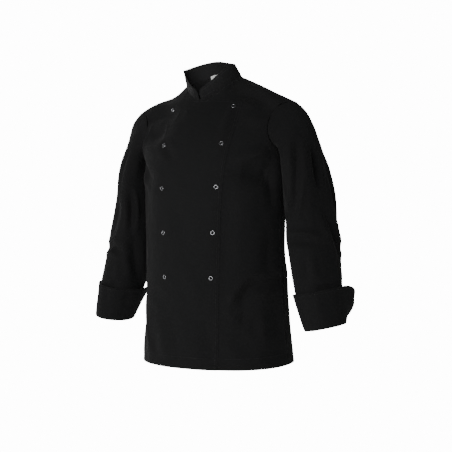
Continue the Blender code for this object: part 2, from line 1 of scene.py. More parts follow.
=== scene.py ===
"""Looks of a double-breasted chef jacket: creased twill, topstitching, ring studs and a bare label.

Every length is in metres. The jacket's front faces -Y and the wearer's left is +X. Each sewn piece
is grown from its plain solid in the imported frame: the solid is refined, its folds are pressed in,
and the distances to its edges are kept with it, so that the twill's finish and the stitches know
where hems and seams run.
"""

import logging
import math
from dataclasses import dataclass, field
from enum import Enum

import bmesh
import bpy
import numpy as np
from mathutils import Matrix, Vector, noise
from mathutils.bvhtree import BVHTree
from mathutils.kdtree import KDTree


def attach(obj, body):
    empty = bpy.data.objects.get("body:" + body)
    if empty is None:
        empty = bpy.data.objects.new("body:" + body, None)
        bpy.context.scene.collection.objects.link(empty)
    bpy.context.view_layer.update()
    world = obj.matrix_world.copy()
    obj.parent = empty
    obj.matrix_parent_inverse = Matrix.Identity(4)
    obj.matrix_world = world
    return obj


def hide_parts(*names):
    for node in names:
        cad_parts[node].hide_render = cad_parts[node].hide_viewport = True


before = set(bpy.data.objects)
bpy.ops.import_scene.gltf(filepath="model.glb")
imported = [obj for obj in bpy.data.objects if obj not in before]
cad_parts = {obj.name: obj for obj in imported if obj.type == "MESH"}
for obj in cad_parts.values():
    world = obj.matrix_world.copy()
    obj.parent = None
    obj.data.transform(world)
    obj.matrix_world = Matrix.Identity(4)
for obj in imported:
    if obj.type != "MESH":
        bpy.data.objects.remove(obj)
LOG = logging.getLogger("chef_jacket")

BODY = "root"
FAR = 1.0                      # distance kept where a piece has no edge of a kind


class Face(Enum):
    """Which side of a sewn piece's wall a face lies on; also its material's index."""

    OUTSIDE = 0
    INSIDE = 1
    RIM = 2


class Edge(Enum):
    """Kinds of edge that a piece has, by the name of the distance kept for each."""

    FREE = "edge"
    HEM = "hem"
    SEAM = "seam"


# How far a stitched line lies from each kind of edge.
INSETS = {Edge.FREE: 0.006, Edge.HEM: 0.028, Edge.SEAM: 0.006}


# ------------------------------------------------------------------------------- small helpers
def ease(t: np.ndarray) -> np.ndarray:
    """Return 0 to 1 with level ends, for t from 0 to 1."""
    t = np.clip(t, 0.0, 1.0)
    return t * t * (3.0 - 2.0 * t)


def deselect_all() -> None:
    """Leave object mode and select nothing."""
    if bpy.context.object and bpy.context.object.mode != "OBJECT":
        bpy.ops.object.mode_set(mode="OBJECT")
    bpy.ops.object.select_all(action="DESELECT")


def make_active(thing: bpy.types.Object) -> None:
    """Select one object alone and make it the active one.

    Args:
        thing: The object.
    """
    deselect_all()
    thing.select_set(True)
    bpy.context.view_layer.objects.active = thing


def link(thing: bpy.types.Object) -> bpy.types.Object:
    """Put an object into the scene and return it."""
    bpy.context.scene.collection.objects.link(thing)
    return thing


def points_of(mesh: bpy.types.Mesh) -> np.ndarray:
    """Return a mesh's vertices as an array of points.

    Args:
        mesh: The mesh.

    Returns:
        One row of three for each vertex.
    """
    flat = np.zeros(len(mesh.vertices) * 3)
    mesh.vertices.foreach_get("co", flat)
    return flat.reshape(-1, 3)


def set_points(mesh: bpy.types.Mesh, points: np.ndarray) -> None:
    """Move a mesh's vertices to an array of points."""
    mesh.vertices.foreach_set("co", np.ascontiguousarray(points, dtype=np.float32).ravel())
    mesh.update()


def keep_attribute(mesh: bpy.types.Mesh, name: str, values: np.ndarray) -> None:
    """Store one number for each vertex under a name."""
    attribute = mesh.attributes.get(name) or mesh.attributes.new(name, "FLOAT", "POINT")
    attribute.data.foreach_set("value", values.astype(np.float32))


def tree_of(points: np.ndarray) -> KDTree:
    """Return a balanced search tree over points.

    Args:
        points: The places that it holds.

    Returns:
        The tree, which finds them by number.
    """
    tree = KDTree(len(points))
    for index, point in enumerate(points):
        tree.insert(point, index)
    tree.balance()
    return tree


def node_tree_of(name: str) -> BVHTree:
    """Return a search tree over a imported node's surface.

    Args:
        name: The node's name.

    Returns:
        The tree of its faces.
    """
    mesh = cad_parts[name].data
    faces = [tuple(polygon.vertices) for polygon in mesh.polygons]
    return BVHTree.FromPolygons([v.co for v in mesh.vertices], faces)


# ------------------------------------------------------------------------------- finishes
class Nodes:
    """A material's node tree, with short ways to add and join nodes."""

    def __init__(self, name: str) -> None:
        """Start a material with a lone Principled shader.

        Args:
            name: The material's name.
        """
        self.material = bpy.data.materials.new(name)
        self.material.use_nodes = True
        self.tree = self.material.node_tree
        self.shader = self.tree.nodes["Principled BSDF"]

    def add(self, kind: str, **settings: object) -> bpy.types.Node:
        """Add a node of a kind and set its properties.

        Args:
            kind: The node's type.
            settings: Its properties.

        Returns:
            The node.
        """
        node = self.tree.nodes.new(kind)
        for key, value in settings.items():
            setattr(node, key, value)
        return node

    def join(self, out: bpy.types.NodeSocket, into: bpy.types.NodeSocket) -> None:
        """Link an output to an input."""
        self.tree.links.new(out, into)

    def math(self, operation: str, *values: object) -> bpy.types.NodeSocket:
        """Add a Math node over sockets or numbers and return its result.

        Args:
            operation: The node's operation.
            values: Its inputs in order, sockets or numbers.

        Returns:
            The result's socket.
        """
        node = self.add("ShaderNodeMath", operation=operation)
        for socket, value in zip(node.inputs, values):
            if isinstance(value, bpy.types.NodeSocket):
                self.join(value, socket)
            else:
                socket.default_value = value
        return node.outputs[0]

    def distance(self, kind: "Edge") -> bpy.types.NodeSocket:
        """Return the kept distance to a kind of edge."""
        return self.add("ShaderNodeAttribute", attribute_name=kind.value).outputs["Fac"]

    def object_place(self) -> bpy.types.NodeSocket:
        """Return the place on the object."""
        return self.add("ShaderNodeTexCoord").outputs["Object"]

    def cloth_place(self) -> tuple:
        """Return the kept place across and down the cloth, in metres.

        Returns:
            The two sockets, across first.
        """
        split = self.add("ShaderNodeSeparateXYZ")
        self.join(self.add("ShaderNodeAttribute", attribute_name="cloth").outputs["Vector"], split.inputs[0])
        return split.outputs["X"], split.outputs["Y"]

    def noise(self, vector: bpy.types.NodeSocket, scale: float, detail: float = 3.0) -> bpy.types.NodeSocket:
        """Add a noise over a vector and return its value, from 0 to 1.

        Args:
            vector: Where it is read.
            scale: Its lumps in a metre.
            detail: How many finer layers.

        Returns:
            The value's socket.
        """
        node = self.add("ShaderNodeTexNoise")
        node.inputs["Scale"].default_value = scale
        node.inputs["Detail"].default_value = detail
        self.join(vector, node.inputs["Vector"])
        return node.outputs["Fac"]

    def ramp(self, value: bpy.types.NodeSocket, low: float, high: float, out_low: float,
             out_high: float) -> bpy.types.NodeSocket:
        """Map a value smoothly from one range to another.

        Args:
            value: The value.
            low: Where its range starts.
            high: Where it ends.
            out_low: What the start becomes.
            out_high: What the end becomes.

        Returns:
            The new value's socket.
        """
        node = self.add("ShaderNodeMapRange", interpolation_type="SMOOTHSTEP")
        self.join(value, node.inputs["Value"])
        for key, number in zip(("From Min", "From Max", "To Min", "To Max"), (low, high, out_low, out_high)):
            node.inputs[key].default_value = number
        return node.outputs["Result"]

    def colours(self, value: bpy.types.NodeSocket, first: tuple, second: tuple) -> bpy.types.NodeSocket:
        """Mix two colours by a value and return the result.

        Args:
            value: Share of the second colour.
            first: The first colour.
            second: The second colour.

        Returns:
            The mixed colour's socket.
        """
        node = self.add("ShaderNodeMix", data_type="RGBA")
        self.join(value, node.inputs["Factor"])
        node.inputs["A"].default_value = (*first, 1.0)
        node.inputs["B"].default_value = (*second, 1.0)
        return node.outputs["Result"]

    def set(self, **values: float) -> None:
        """Set the shader's own sockets; a name's underscores stand for spaces."""
        for key, value in values.items():
            self.shader.inputs[key.replace("_", " ")].default_value = value

    def bump(self, height: bpy.types.NodeSocket, distance: float,
             under: bpy.types.NodeSocket | None = None) -> bpy.types.NodeSocket:
        """Add a bump of a real height in metres and return its normal.

        Args:
            height: The height, from 0 to 1.
            distance: What 1 stands for, in metres.
            under: The normal of the relief that it lies on, if any.

        Returns:
            The normal's socket.
        """
        node = self.add("ShaderNodeBump")
        node.inputs["Strength"].default_value = 1.0
        node.inputs["Distance"].default_value = distance
        self.join(height, node.inputs["Height"])
        if under is not None:
            self.join(under, node.inputs["Normal"])
        return node.outputs["Normal"]


@dataclass(frozen=True)
class TwillFinish:
    """Matte black polycotton twill, with its wales, its hems' thickness and its stitched grooves."""

    name: str = "twill"
    deep: tuple = (0.0088, 0.0088, 0.0091)
    worn: tuple = (0.0150, 0.0150, 0.0154)
    rubbed: tuple = (0.026, 0.026, 0.027)
    rub: float = 0.25             # how rubbed the edges are
    rub_reach: float = 0.001      # how far in from an edge the rubbing runs
    rub_breakup: float = 0.002    # how much the fuzz breaks that line up
    wale: float = 0.0011          # from one diagonal rib to the next
    wale_height: float = 0.00010
    slant: float = 0.62           # how steeply the ribs climb
    thread_share: float = 0.25    # height of the single threads, as a share of the ribs'
    fuzz_scale: float = 1900.0
    fuzz_height: float = 0.00005
    fuzz_share: float = 0.45      # share of the fuzz in the colour
    cloud_scale: float = 9.0
    cloud_share: float = 0.6      # and of the slow clouds
    roughness: tuple = (0.80, 0.94)      # where the clouds are lowest, and where highest
    groove: float = 0.0011        # half width of a stitched line's groove
    groove_height: float = 0.0002
    pucker: float = 0.0090        # reach of the puckers beside a stitched line
    pucker_height: float = 0.0005
    pucker_scale: float = 95.0    # puckers in a metre
    seam_pucker: float = 0.35     # how much of it seams have
    turning: float = 0.0022       # width of the step where a hem's turned-in cloth ends
    turning_height: float = 0.0005

    def wales(self, nodes: Nodes) -> bpy.types.NodeSocket:
        """Return the height of the diagonal ribs, from 0 to 1.

        Args:
            nodes: The material's nodes.

        Returns:
            The height's socket.
        """
        across, down = nodes.cloth_place()
        slant = nodes.math("ADD", across, nodes.math("MULTIPLY", down, self.slant))
        rib = nodes.math("SINE", nodes.math("MULTIPLY", slant, math.tau / self.wale))
        thread = nodes.math("SINE", nodes.math("MULTIPLY", down, math.tau / (self.wale * 0.5)))
        both = nodes.math("MULTIPLY_ADD", thread, self.thread_share, rib)
        return nodes.math("MULTIPLY_ADD", both, 0.4, 0.5)

    def colour(self, nodes: Nodes, cloud: bpy.types.NodeSocket, fuzz: bpy.types.NodeSocket) -> None:
        """Colour the cloth, a little paler where its edges are rubbed.

        Args:
            nodes: The material's nodes.
            cloud: The slow unevenness.
            fuzz: The fine one.
        """
        clouds = nodes.math("MULTIPLY", cloud, self.cloud_share)
        shade = nodes.math("MULTIPLY_ADD", fuzz, self.fuzz_share, clouds)
        base = nodes.colours(shade, self.deep, self.worn)
        edge = nodes.distance(Edge.FREE)
        uneven = nodes.math("MULTIPLY_ADD", fuzz, -self.rub_breakup, edge)
        rub = nodes.ramp(uneven, -self.rub_reach, self.rub_reach, self.rub, 0.0)
        mix = nodes.add("ShaderNodeMix", data_type="RGBA")
        nodes.join(rub, mix.inputs["Factor"])
        nodes.join(base, mix.inputs["A"])
        mix.inputs["B"].default_value = (*self.rubbed, 1.0)
        nodes.join(mix.outputs["Result"], nodes.shader.inputs["Base Color"])
        nodes.join(nodes.ramp(cloud, 0.2, 0.8, *self.roughness), nodes.shader.inputs["Roughness"])

    def relief(self, nodes: Nodes, place: bpy.types.NodeSocket, fuzz: bpy.types.NodeSocket) -> None:
        """Raise the weave, the puckers and the hems' turned-in cloth.

        Args:
            nodes: The material's nodes.
            place: The place on the object.
            fuzz: The fine unevenness.
        """
        grooves, swell = 0.0, 0.0
        for kind in Edge:
            gap = nodes.math("SUBTRACT", nodes.distance(kind), INSETS[kind])
            away = nodes.math("ABSOLUTE", gap)
            grooves = nodes.math("ADD", nodes.ramp(away, 0.0, self.groove, 1.0, 0.0), grooves)
            most = self.seam_pucker if kind is Edge.SEAM else 1.0
            swell = nodes.math("MAXIMUM", nodes.ramp(away, 0.0, self.pucker, most, 0.0), swell)
        form = nodes.bump(nodes.math("MULTIPLY", grooves, -1.0), self.groove_height)
        pucker = nodes.noise(place, self.pucker_scale, 1.0)
        form = nodes.bump(nodes.math("MULTIPLY", pucker, swell), self.pucker_height, form)
        inset = INSETS[Edge.HEM]
        turned = nodes.ramp(nodes.distance(Edge.HEM), inset, inset + self.turning, 1.0, 0.0)
        form = nodes.bump(turned, self.turning_height, form)
        form = nodes.bump(fuzz, self.fuzz_height, form)
        form = nodes.bump(self.wales(nodes), self.wale_height, form)
        nodes.join(form, nodes.shader.inputs["Normal"])

    def build(self) -> bpy.types.Material:
        """Make the material.

        Returns:
            The material.
        """
        nodes = Nodes(self.name)
        place = nodes.object_place()
        fuzz = nodes.noise(place, self.fuzz_scale, 2.0)
        self.colour(nodes, nodes.noise(place, self.cloud_scale, 4.0), fuzz)
        self.relief(nodes, place, fuzz)
        nodes.set(Sheen_Weight=0.05, Sheen_Roughness=0.5, Specular_IOR_Level=0.12)
        return nodes.material


@dataclass(frozen=True)
class ThreadFinish:
    """Black sewing thread, a little glossier than the twill, with its ply."""

    name: str = "thread"
    dark: tuple = (0.009, 0.009, 0.010)
    light: tuple = (0.019, 0.019, 0.020)
    ply: float = 2600.0
    ply_height: float = 0.00008
    roughness: tuple = (0.5, 0.7)

    def build(self) -> bpy.types.Material:
        """Make the material.

        Returns:
            The material.
        """
        nodes = Nodes(self.name)
        place = nodes.object_place()
        ply = nodes.noise(place, self.ply, 1.0)
        nodes.join(nodes.colours(ply, self.dark, self.light), nodes.shader.inputs["Base Color"])
        nodes.join(nodes.ramp(ply, 0.2, 0.8, *self.roughness), nodes.shader.inputs["Roughness"])
        nodes.join(nodes.bump(ply, self.ply_height), nodes.shader.inputs["Normal"])
        nodes.set(Sheen_Weight=0.1)
        return nodes.material


@dataclass(frozen=True)
class NickelFinish:
    """Polished nickel, with faint scratches and slightly duller patches."""

    name: str = "nickel"
    colour: tuple = (0.50, 0.50, 0.52)
    tarnish: tuple = (0.30, 0.30, 0.32)
    patch_scale: float = 420.0
    scratch_scale: float = 5200.0
    scratch_height: float = 0.00001
    roughness: tuple = (0.16, 0.28)

    def build(self) -> bpy.types.Material:
        """Make the material.

        Returns:
            The material.
        """
        nodes = Nodes(self.name)
        place = nodes.object_place()
        patches = nodes.noise(place, self.patch_scale, 3.0)
        scratches = nodes.noise(place, self.scratch_scale, 1.0)
        nodes.join(nodes.colours(patches, self.tarnish, self.colour), nodes.shader.inputs["Base Color"])
        nodes.join(nodes.ramp(patches, 0.3, 0.7, *self.roughness), nodes.shader.inputs["Roughness"])
        nodes.join(nodes.bump(scratches, self.scratch_height), nodes.shader.inputs["Normal"])
        nodes.set(Metallic=1.0)
        return nodes.material


@dataclass(frozen=True)
class TapeFinish:
    """A pale woven label with fine ribs across and a slightly deeper selvedge."""

    name: str = "tape"
    ground: tuple = (0.58, 0.58, 0.57)
    shade: tuple = (0.40, 0.40, 0.40)
    selvedge: float = 0.0016
    rib: float = 0.0006
    rib_height: float = 0.00006
    rib_shade: float = 0.3
    roughness: tuple = (0.55, 0.7)

    def build(self) -> bpy.types.Material:
        """Make the material.

        Returns:
            The material.
        """
        nodes = Nodes(self.name)
        edge = nodes.ramp(nodes.distance(Edge.FREE), 0.0, self.selvedge, 1.0, 0.0)
        _, down = nodes.cloth_place()
        ribs = nodes.math("SINE", nodes.math("MULTIPLY", down, math.tau / self.rib))
        threads = nodes.math("MULTIPLY_ADD", ribs, 0.5, 0.5)
        depth = nodes.math("MAXIMUM", edge, nodes.math("MULTIPLY", threads, self.rib_shade))
        nodes.join(nodes.colours(depth, self.ground, self.shade), nodes.shader.inputs["Base Color"])
        nodes.join(nodes.ramp(threads, 0.0, 1.0, *self.roughness), nodes.shader.inputs["Roughness"])
        nodes.join(nodes.bump(threads, self.rib_height), nodes.shader.inputs["Normal"])
        return nodes.material


@dataclass(frozen=True)
class BackdropFinish:
    """Pale painted floor."""

    name: str = "backdrop"
    colour: tuple = (0.90, 0.90, 0.90)
    grain_scale: float = 3.0
    grain: float = 1.02           # how much paler its palest grain is

    def build(self) -> bpy.types.Material:
        """Make the material.

        Returns:
            The material.
        """
        nodes = Nodes(self.name)
        place = nodes.object_place()
        grain = nodes.noise(place, self.grain_scale, 2.0)
        paler = tuple(min(1.0, part * self.grain) for part in self.colour)
        nodes.join(nodes.colours(grain, self.colour, paler), nodes.shader.inputs["Base Color"])
        nodes.set(Roughness=0.8, Specular_IOR_Level=0.2)
        return nodes.material


# ------------------------------------------------------------------------------- folds
@dataclass(frozen=True)
class Fold:
    """A soft fold along a short curve on the cloth.

    Attributes:
        route: Two to five places that it runs through.
        width: Half width of its trough.
        depth: How far it is pressed in; a negative depth stands out.
        lip: Height of the ridge beside it, as a share of its depth.
        lean: Which side the ridge is on: -1 or 1 for one side alone, 0 for both alike.
    """

    route: tuple
    width: float
    depth: float
    lip: float = 0.35
    lean: float = 0.0

    STEPS = 18                    # points along its curve
    REACH = 3.4                   # how far out it is felt, in half widths
    BLUNT = 1.6                   # power of the trough's profile: 2 is round, less is keener
    LIP_AT = 1.9                  # how far out the ridge lies, in half widths
    LIP_WIDTH = 0.75              # and how wide it is
    TIP = 0.03                    # share of the fold at each end that is as shallow as its tip
    FADE = 0.6                    # power of its fading towards its ends

    def curve(self) -> np.ndarray:
        """Return points along the fold, on a smooth curve through its route.

        Returns:
            The points, evenly spaced in its parameter.
        """
        knots = np.array(self.route, dtype=float)
        first, last = 2 * knots[0] - knots[1], 2 * knots[-1] - knots[-2]
        knots = np.vstack([first, knots, last])
        spans = len(knots) - 3
        points = []
        for t in np.linspace(0.0, spans, self.STEPS):
            i = min(int(t), spans - 1)
            u = t - i
            a, b, c, d = knots[i:i + 4]
            points.append(0.5 * (2 * b + (c - a) * u + (2 * a - 5 * b + 4 * c - d) * u**2
                                 + (3 * b - a - 3 * c + d) * u**3))
        return np.array(points)

    def depth_at(self, points: np.ndarray, normals: np.ndarray) -> np.ndarray:
        """Return how far each point is pressed in.

        Args:
            points: Places on the cloth.
            normals: The cloth's outward directions there.

        Returns:
            One depth for each place.
        """
        curve = self.curve()
        reach = self.REACH * self.width
        depth = np.zeros(len(points))
        low, high = curve.min(axis=0) - reach, curve.max(axis=0) + reach
        near = np.nonzero(((points > low) & (points < high)).all(axis=1))[0]
        if len(near) == 0:
            return depth
        place, normal = points[near], normals[near]
        best, along, side = np.full(len(near), FAR), np.zeros(len(near)), np.zeros(len(near))
        for step in range(self.STEPS - 1):
            run = curve[step + 1] - curve[step]
            t = np.clip(((place - curve[step]) @ run) / (run @ run), 0.0, 1.0)
            gap = place - curve[step] - t[:, None] * run
            away = np.linalg.norm(gap, axis=1)
            closer = away < best
            best = np.where(closer, away, best)
            along = np.where(closer, (step + t) / (self.STEPS - 1), along)
            side = np.where(closer, (np.cross(run, gap) * normal).sum(axis=1), side)
        share = best / self.width
        trough = np.exp(-share**self.BLUNT)
        ridge = self.lip * np.exp(-((share - self.LIP_AT) / self.LIP_WIDTH) ** 2)
        ridge = ridge * (1.0 + self.lean * np.sign(side))
        taper = np.sin(math.pi * np.clip(along, self.TIP, 1.0 - self.TIP)) ** self.FADE
        depth[near] = self.depth * (trough - ridge) * taper
        return depth


@dataclass(frozen=True)
class Drape:
    """How a part of the cloth is creased: its folds and a slow unevenness."""

    folds: tuple
    wave: float = 0.0016
    wave_length: float = 0.085
    ripple: float = 0.0006
    ripple_length: float = 0.026
    grain: tuple = (1.0, 1.0, 0.55)      # the unevenness is longer down the cloth

    def unevenness(self, points: np.ndarray) -> np.ndarray:
        """Return a slow, soft unevenness at each point.

        Args:
            points: Places on the cloth.

        Returns:
            One height for each place.
        """
        values = np.zeros(len(points))
        stretched = points * np.array(self.grain)
        for length, height in ((self.wave_length, self.wave), (self.ripple_length, self.ripple)):
            values += height * np.array([noise.noise(Vector(point)) for point in stretched / length])
        return values

    def depth_at(self, points: np.ndarray, normals: np.ndarray) -> np.ndarray:
        """Return how far the drape presses each point in.

        Args:
            points: Places on the cloth.
            normals: The cloth's outward directions there.

        Returns:
            One depth for each place.
        """
        depth = self.unevenness(points)
        for fold in self.folds:
            depth = depth + fold.depth_at(points, normals)
        return depth


# ------------------------------------------------------------------------------- sewn pieces
@dataclass
class SewnPiece:
    """A piece of cloth grown from its plain solid.

    Attributes:
        node: The solid's name.
        levels: How often it is refined.
        axis: Two points of the line that the piece goes round, for telling outside from inside.
        flat: Width and length of the rectangle that it was cut from; not used.
        area: Flat area of the cut; not used.
        sewn_to: Solids that it is sewn to.
        stitched: Kinds of edge with a line of topstitching.
        hem: Height under which its free edge is the hem.
        relief: Share of the drape that it takes.
        over_shoulder: Share of the way over the shoulder that counts as length of the cloth.
        held: How the cloth is held, in the frame's words; not used.
        rests_on: Pieces that it lies on or hangs from; not used.
        sink: How far its free edges lie down towards the layer under them.
        thinning: How much thinner its wall is at a free edge.
        piece: The object, once it is copied from the solid.
        near: Each vertex's distance to each kind of edge.
        runs: The lines that the topstitching follows, by the kind of edge.
        seat: The finished outside's vertices and their normals.
    """

    node: str
    levels: int
    axis: tuple
    flat: tuple
    area: float
    sewn_to: tuple = ()
    stitched: tuple = (Edge.FREE,)
    hem: float = -9.0
    relief: float = 1.0
    over_shoulder: float = 0.0
    held: str = "hung"
    rests_on: tuple = ()
    sink: float = 0.0
    thinning: float = 0.0
    piece: bpy.types.Object = field(default=None, init=False)
    near: dict = field(default_factory=dict, init=False)
    runs: dict = field(default_factory=dict, init=False)
    seat: tuple = field(default=(), init=False)

    CALM = 0.012                  # reach over which folds fade at seams
    CALM_REST = 0.1               # share of them that stays at the seam itself
    SAME_PLACE = 0.00002          # vertices this near each other are merged
    SEAM_GAP = 0.0034             # an edge this near its neighbour is sewn to it
    SEAM_LAP = 0.0006             # how far a sewn edge runs into its neighbour, so that no light shows
    RIM_ANGLE = math.radians(50.0)
    RIM_SOFTNESS = 0.7
    SMOOTHING = 12                # passes that even out the refined surface
    WALL = 0.0016                 # the solid's thickness
    SINK_REACH = 0.026            # distance from a free edge over which it sinks
    THINNING_REACH = 0.009        # and over which it thins

    def from_axis(self, points: np.ndarray) -> np.ndarray:
        """Return the ways from the piece's axis out to points.

        Args:
            points: Places on the piece.

        Returns:
            One vector for each place.
        """
        first, last = np.array(self.axis[0]), np.array(self.axis[1])
        run = last - first
        share = np.clip(((points - first) @ run) / (run @ run), 0.0, 1.0)
        return points - first - share[:, None] * run

    def copy_solid(self) -> None:
        """Copy the solid's mesh, merge it and turn its triangles into quads where they pair up."""
        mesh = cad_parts[self.node].data.copy()
        mesh.materials.clear()
        self.piece = link(bpy.data.objects.new(f"cloth_{self.node}", mesh))
        make_active(self.piece)
        bpy.ops.mesh.customdata_custom_splitnormals_clear()
        bpy.ops.object.mode_set(mode="EDIT")
        bpy.ops.mesh.select_all(action="SELECT")
        bpy.ops.mesh.remove_doubles(threshold=self.SAME_PLACE)
        bpy.ops.mesh.tris_convert_to_quads(face_threshold=self.RIM_ANGLE, shape_threshold=math.pi)
        bpy.ops.mesh.select_all(action="DESELECT")
        bpy.ops.object.mode_set(mode="OBJECT")

    def sheets_of(self, shape: bmesh.types.BMesh, sharp: set) -> list:
        """Return the faces of each stretch between sharp edges, the largest stretch first.

        Args:
            shape: The piece's mesh.
            sharp: Numbers of its sharp edges.

        Returns:
            Lists of faces.
        """
        unseen = set(face.index for face in shape.faces)
        shape.faces.ensure_lookup_table()
        sheets = []
        while unseen:
            start = unseen.pop()
            sheet, stack = [start], [start]
            while stack:
                for edge in shape.faces[stack.pop()].edges:
                    if edge.index in sharp:
                        continue
                    for face in edge.link_faces:
                        if face.index in unseen:
                            unseen.remove(face.index)
                            sheet.append(face.index)
                            stack.append(face.index)
            sheets.append([shape.faces[index] for index in sheet])
        return sorted(sheets, key=lambda sheet: -sum(face.calc_area() for face in sheet))

    def mark_sides(self) -> None:
        """Give each face its side of the wall as a material index, and soften the rims' creases."""
        mesh = self.piece.data
        shape = bmesh.new()
        shape.from_mesh(mesh)
        shape.normal_update()
        layers = shape.edges.layers.float
        crease = layers.get("crease_edge") or layers.new("crease_edge")
        sharp = set()
        for edge in shape.edges:
            if len(edge.link_faces) == 2 and edge.calc_face_angle() > self.RIM_ANGLE:
                edge[crease] = self.RIM_SOFTNESS
                sharp.add(edge.index)
        for rank, sheet in enumerate(self.sheets_of(shape, sharp)):
            away = self.from_axis(np.array([face.calc_center_median() for face in sheet]))
            normals = np.array([face.normal for face in sheet])
            facing = float((away * normals).sum())
            side = Face.RIM if rank > 1 else (Face.OUTSIDE if facing > 0 else Face.INSIDE)
            for face in sheet:
                face.material_index = side.value
        shape.to_mesh(mesh)
        shape.free()

    def sides(self) -> np.ndarray:
        """Return each face's side of the wall.

        Returns:
            One value of Face for each face.
        """
        sides = np.zeros(len(self.piece.data.polygons), dtype=np.int32)
        self.piece.data.polygons.foreach_get("material_index", sides)
        return sides

    def corners(self) -> tuple:
        """Return the faces' first corners, their numbers of corners and the corners' vertices.

        Returns:
            Three arrays, in that order.
        """
        mesh = self.piece.data
        starts = np.zeros(len(mesh.polygons), dtype=np.int32)
        totals = np.zeros(len(mesh.polygons), dtype=np.int32)
        vertices = np.zeros(len(mesh.loops), dtype=np.int32)
        mesh.polygons.foreach_get("loop_start", starts)
        mesh.polygons.foreach_get("loop_total", totals)
        mesh.loops.foreach_get("vertex_index", vertices)
        return starts, totals, vertices

    def vertices_of(self, side: Face) -> np.ndarray:
        """Return which vertices belong to a side's faces.

        Args:
            side: The side.

        Returns:
            True or False for each vertex.
        """
        starts, totals, vertices = self.corners()
        chosen = np.repeat(self.sides() == side.value, totals)
        found = np.zeros(len(self.piece.data.vertices), dtype=bool)
        found[vertices[chosen]] = True
        return found

    def refine(self) -> None:
        """Subdivide the piece and even out its surface, but not its rims."""
        make_active(self.piece)
        modifier = self.piece.modifiers.new("refine", "SUBSURF")
        modifier.levels = modifier.render_levels = self.levels
        bpy.ops.object.modifier_apply(modifier=modifier.name)
        mesh = self.piece.data
        inner = ~self.vertices_of(Face.RIM)
        mesh.polygons.foreach_set("select", np.zeros(len(mesh.polygons), dtype=bool))
        mesh.edges.foreach_set("select", np.zeros(len(mesh.edges), dtype=bool))
        mesh.vertices.foreach_set("select", inner)
        bpy.ops.object.mode_set(mode="EDIT")
        bpy.ops.mesh.vertices_smooth(factor=0.5, repeat=self.SMOOTHING)
        bpy.ops.mesh.select_all(action="DESELECT")
        bpy.ops.object.mode_set(mode="OBJECT")

    def close_seams(self) -> None:
        """Run the sewn edges on into their neighbours."""
        mesh = self.piece.data
        points = points_of(mesh)
        trees = [node_tree_of(name) for name in self.sewn_to]
        for index in np.nonzero(self.vertices_of(Face.RIM))[0]:
            place = Vector(points[index])
            hits = [tree.find_nearest(place, self.SEAM_GAP) for tree in trees]
            hits = [hit for hit in hits if hit[0] is not None]
            if hits:
                target = min(hits, key=lambda hit: hit[3])[0]
                points[index] = target + (target - place).normalized() * self.SEAM_LAP
        set_points(mesh, points)

    def outside(self) -> tuple:
        """Return the outside's vertex numbers and their normals, from outside faces alone.

        Returns:
            The numbers, and one normal for each of them.
        """
        mesh = self.piece.data
        starts, totals, vertices = self.corners()
        normals = np.zeros(len(mesh.polygons) * 3)
        mesh.polygons.foreach_get("normal", normals)
        normals = normals.reshape(-1, 3)
        chosen = self.sides() == Face.OUTSIDE.value
        total = np.zeros((len(mesh.vertices), 3))
        for step in range(int(totals.max())):
            has = chosen & (totals > step)
            np.add.at(total, vertices[starts[has] + step], normals[has])
        length = np.linalg.norm(total, axis=1)
        index = np.nonzero(length > 0)[0]
        return index, total[index] / length[index, None]

    def sort_rim(self) -> dict:
        """Sort the points of the outside's edge by the kind of edge.

        Returns:
            The points of each kind of edge.
        """
        on_edge = self.vertices_of(Face.RIM) & self.vertices_of(Face.OUTSIDE)
        neighbours = [node_tree_of(name) for name in self.sewn_to]
        kinds = {kind: [] for kind in Edge}
        for point in points_of(self.piece.data)[on_edge]:
            if any(tree.find_nearest(Vector(point), self.SEAM_GAP)[0] for tree in neighbours):
                kinds[Edge.SEAM].append(point)
            elif point[2] < self.hem:
                kinds[Edge.HEM].append(point)
            else:
                kinds[Edge.FREE].append(point)
        return kinds

    def measure(self) -> None:
        """Find each vertex's distance to each kind of edge, and keep those of stitched kinds."""
        mesh = self.piece.data
        points = points_of(mesh)
        for kind, rim in self.sort_rim().items():
            self.near[kind] = np.full(len(points), FAR)
            if rim:
                tree = tree_of(rim)
                self.near[kind] = np.array([tree.find(point)[2] for point in points])
            shown = self.near[kind] if kind in self.stitched else np.full(len(points), FAR)
            keep_attribute(mesh, kind.value, shown)

    def press(self, drape: Drape) -> None:
        """Press the drape into both sides of the wall.

        Args:
            drape: The folds and the unevenness.
        """
        mesh = self.piece.data
        points = points_of(mesh)
        index, normals = self.outside()
        depth = drape.depth_at(points[index], normals) * self.relief
        calm = ease(self.near[Edge.SEAM][index] / self.CALM)
        depth *= self.CALM_REST + (1.0 - self.CALM_REST) * calm
        move = -normals * depth[:, None]
        tree = tree_of(points[index])
        rest = np.setdiff1d(np.arange(len(points)), index)
        nearest = np.array([tree.find(points[i])[1] for i in rest], dtype=np.int64)
        points[index] += move
        points[rest] += move[nearest]
        set_points(mesh, points)

    def lay_edges(self) -> None:
        """Lay the free edges down on the layer under them and thin them out from outside."""
        if self.sink == 0.0 and self.thinning == 0.0:
            return
        mesh = self.piece.data
        points = points_of(mesh)
        index, normals = self.outside()
        tree = tree_of(points[index])
        found = [tree.find(point) for point in points]
        way = -normals[np.array([hit[1] for hit in found])]
        outward = 1.0 - np.clip(np.array([hit[2] for hit in found]) / self.WALL, 0.0, 1.0)
        gap = self.near[Edge.FREE]
        depth = self.sink * (1.0 - ease(gap / self.SINK_REACH))
        depth += self.thinning * (1.0 - ease(gap / self.THINNING_REACH)) * outward
        set_points(mesh, points + way * depth[:, None])

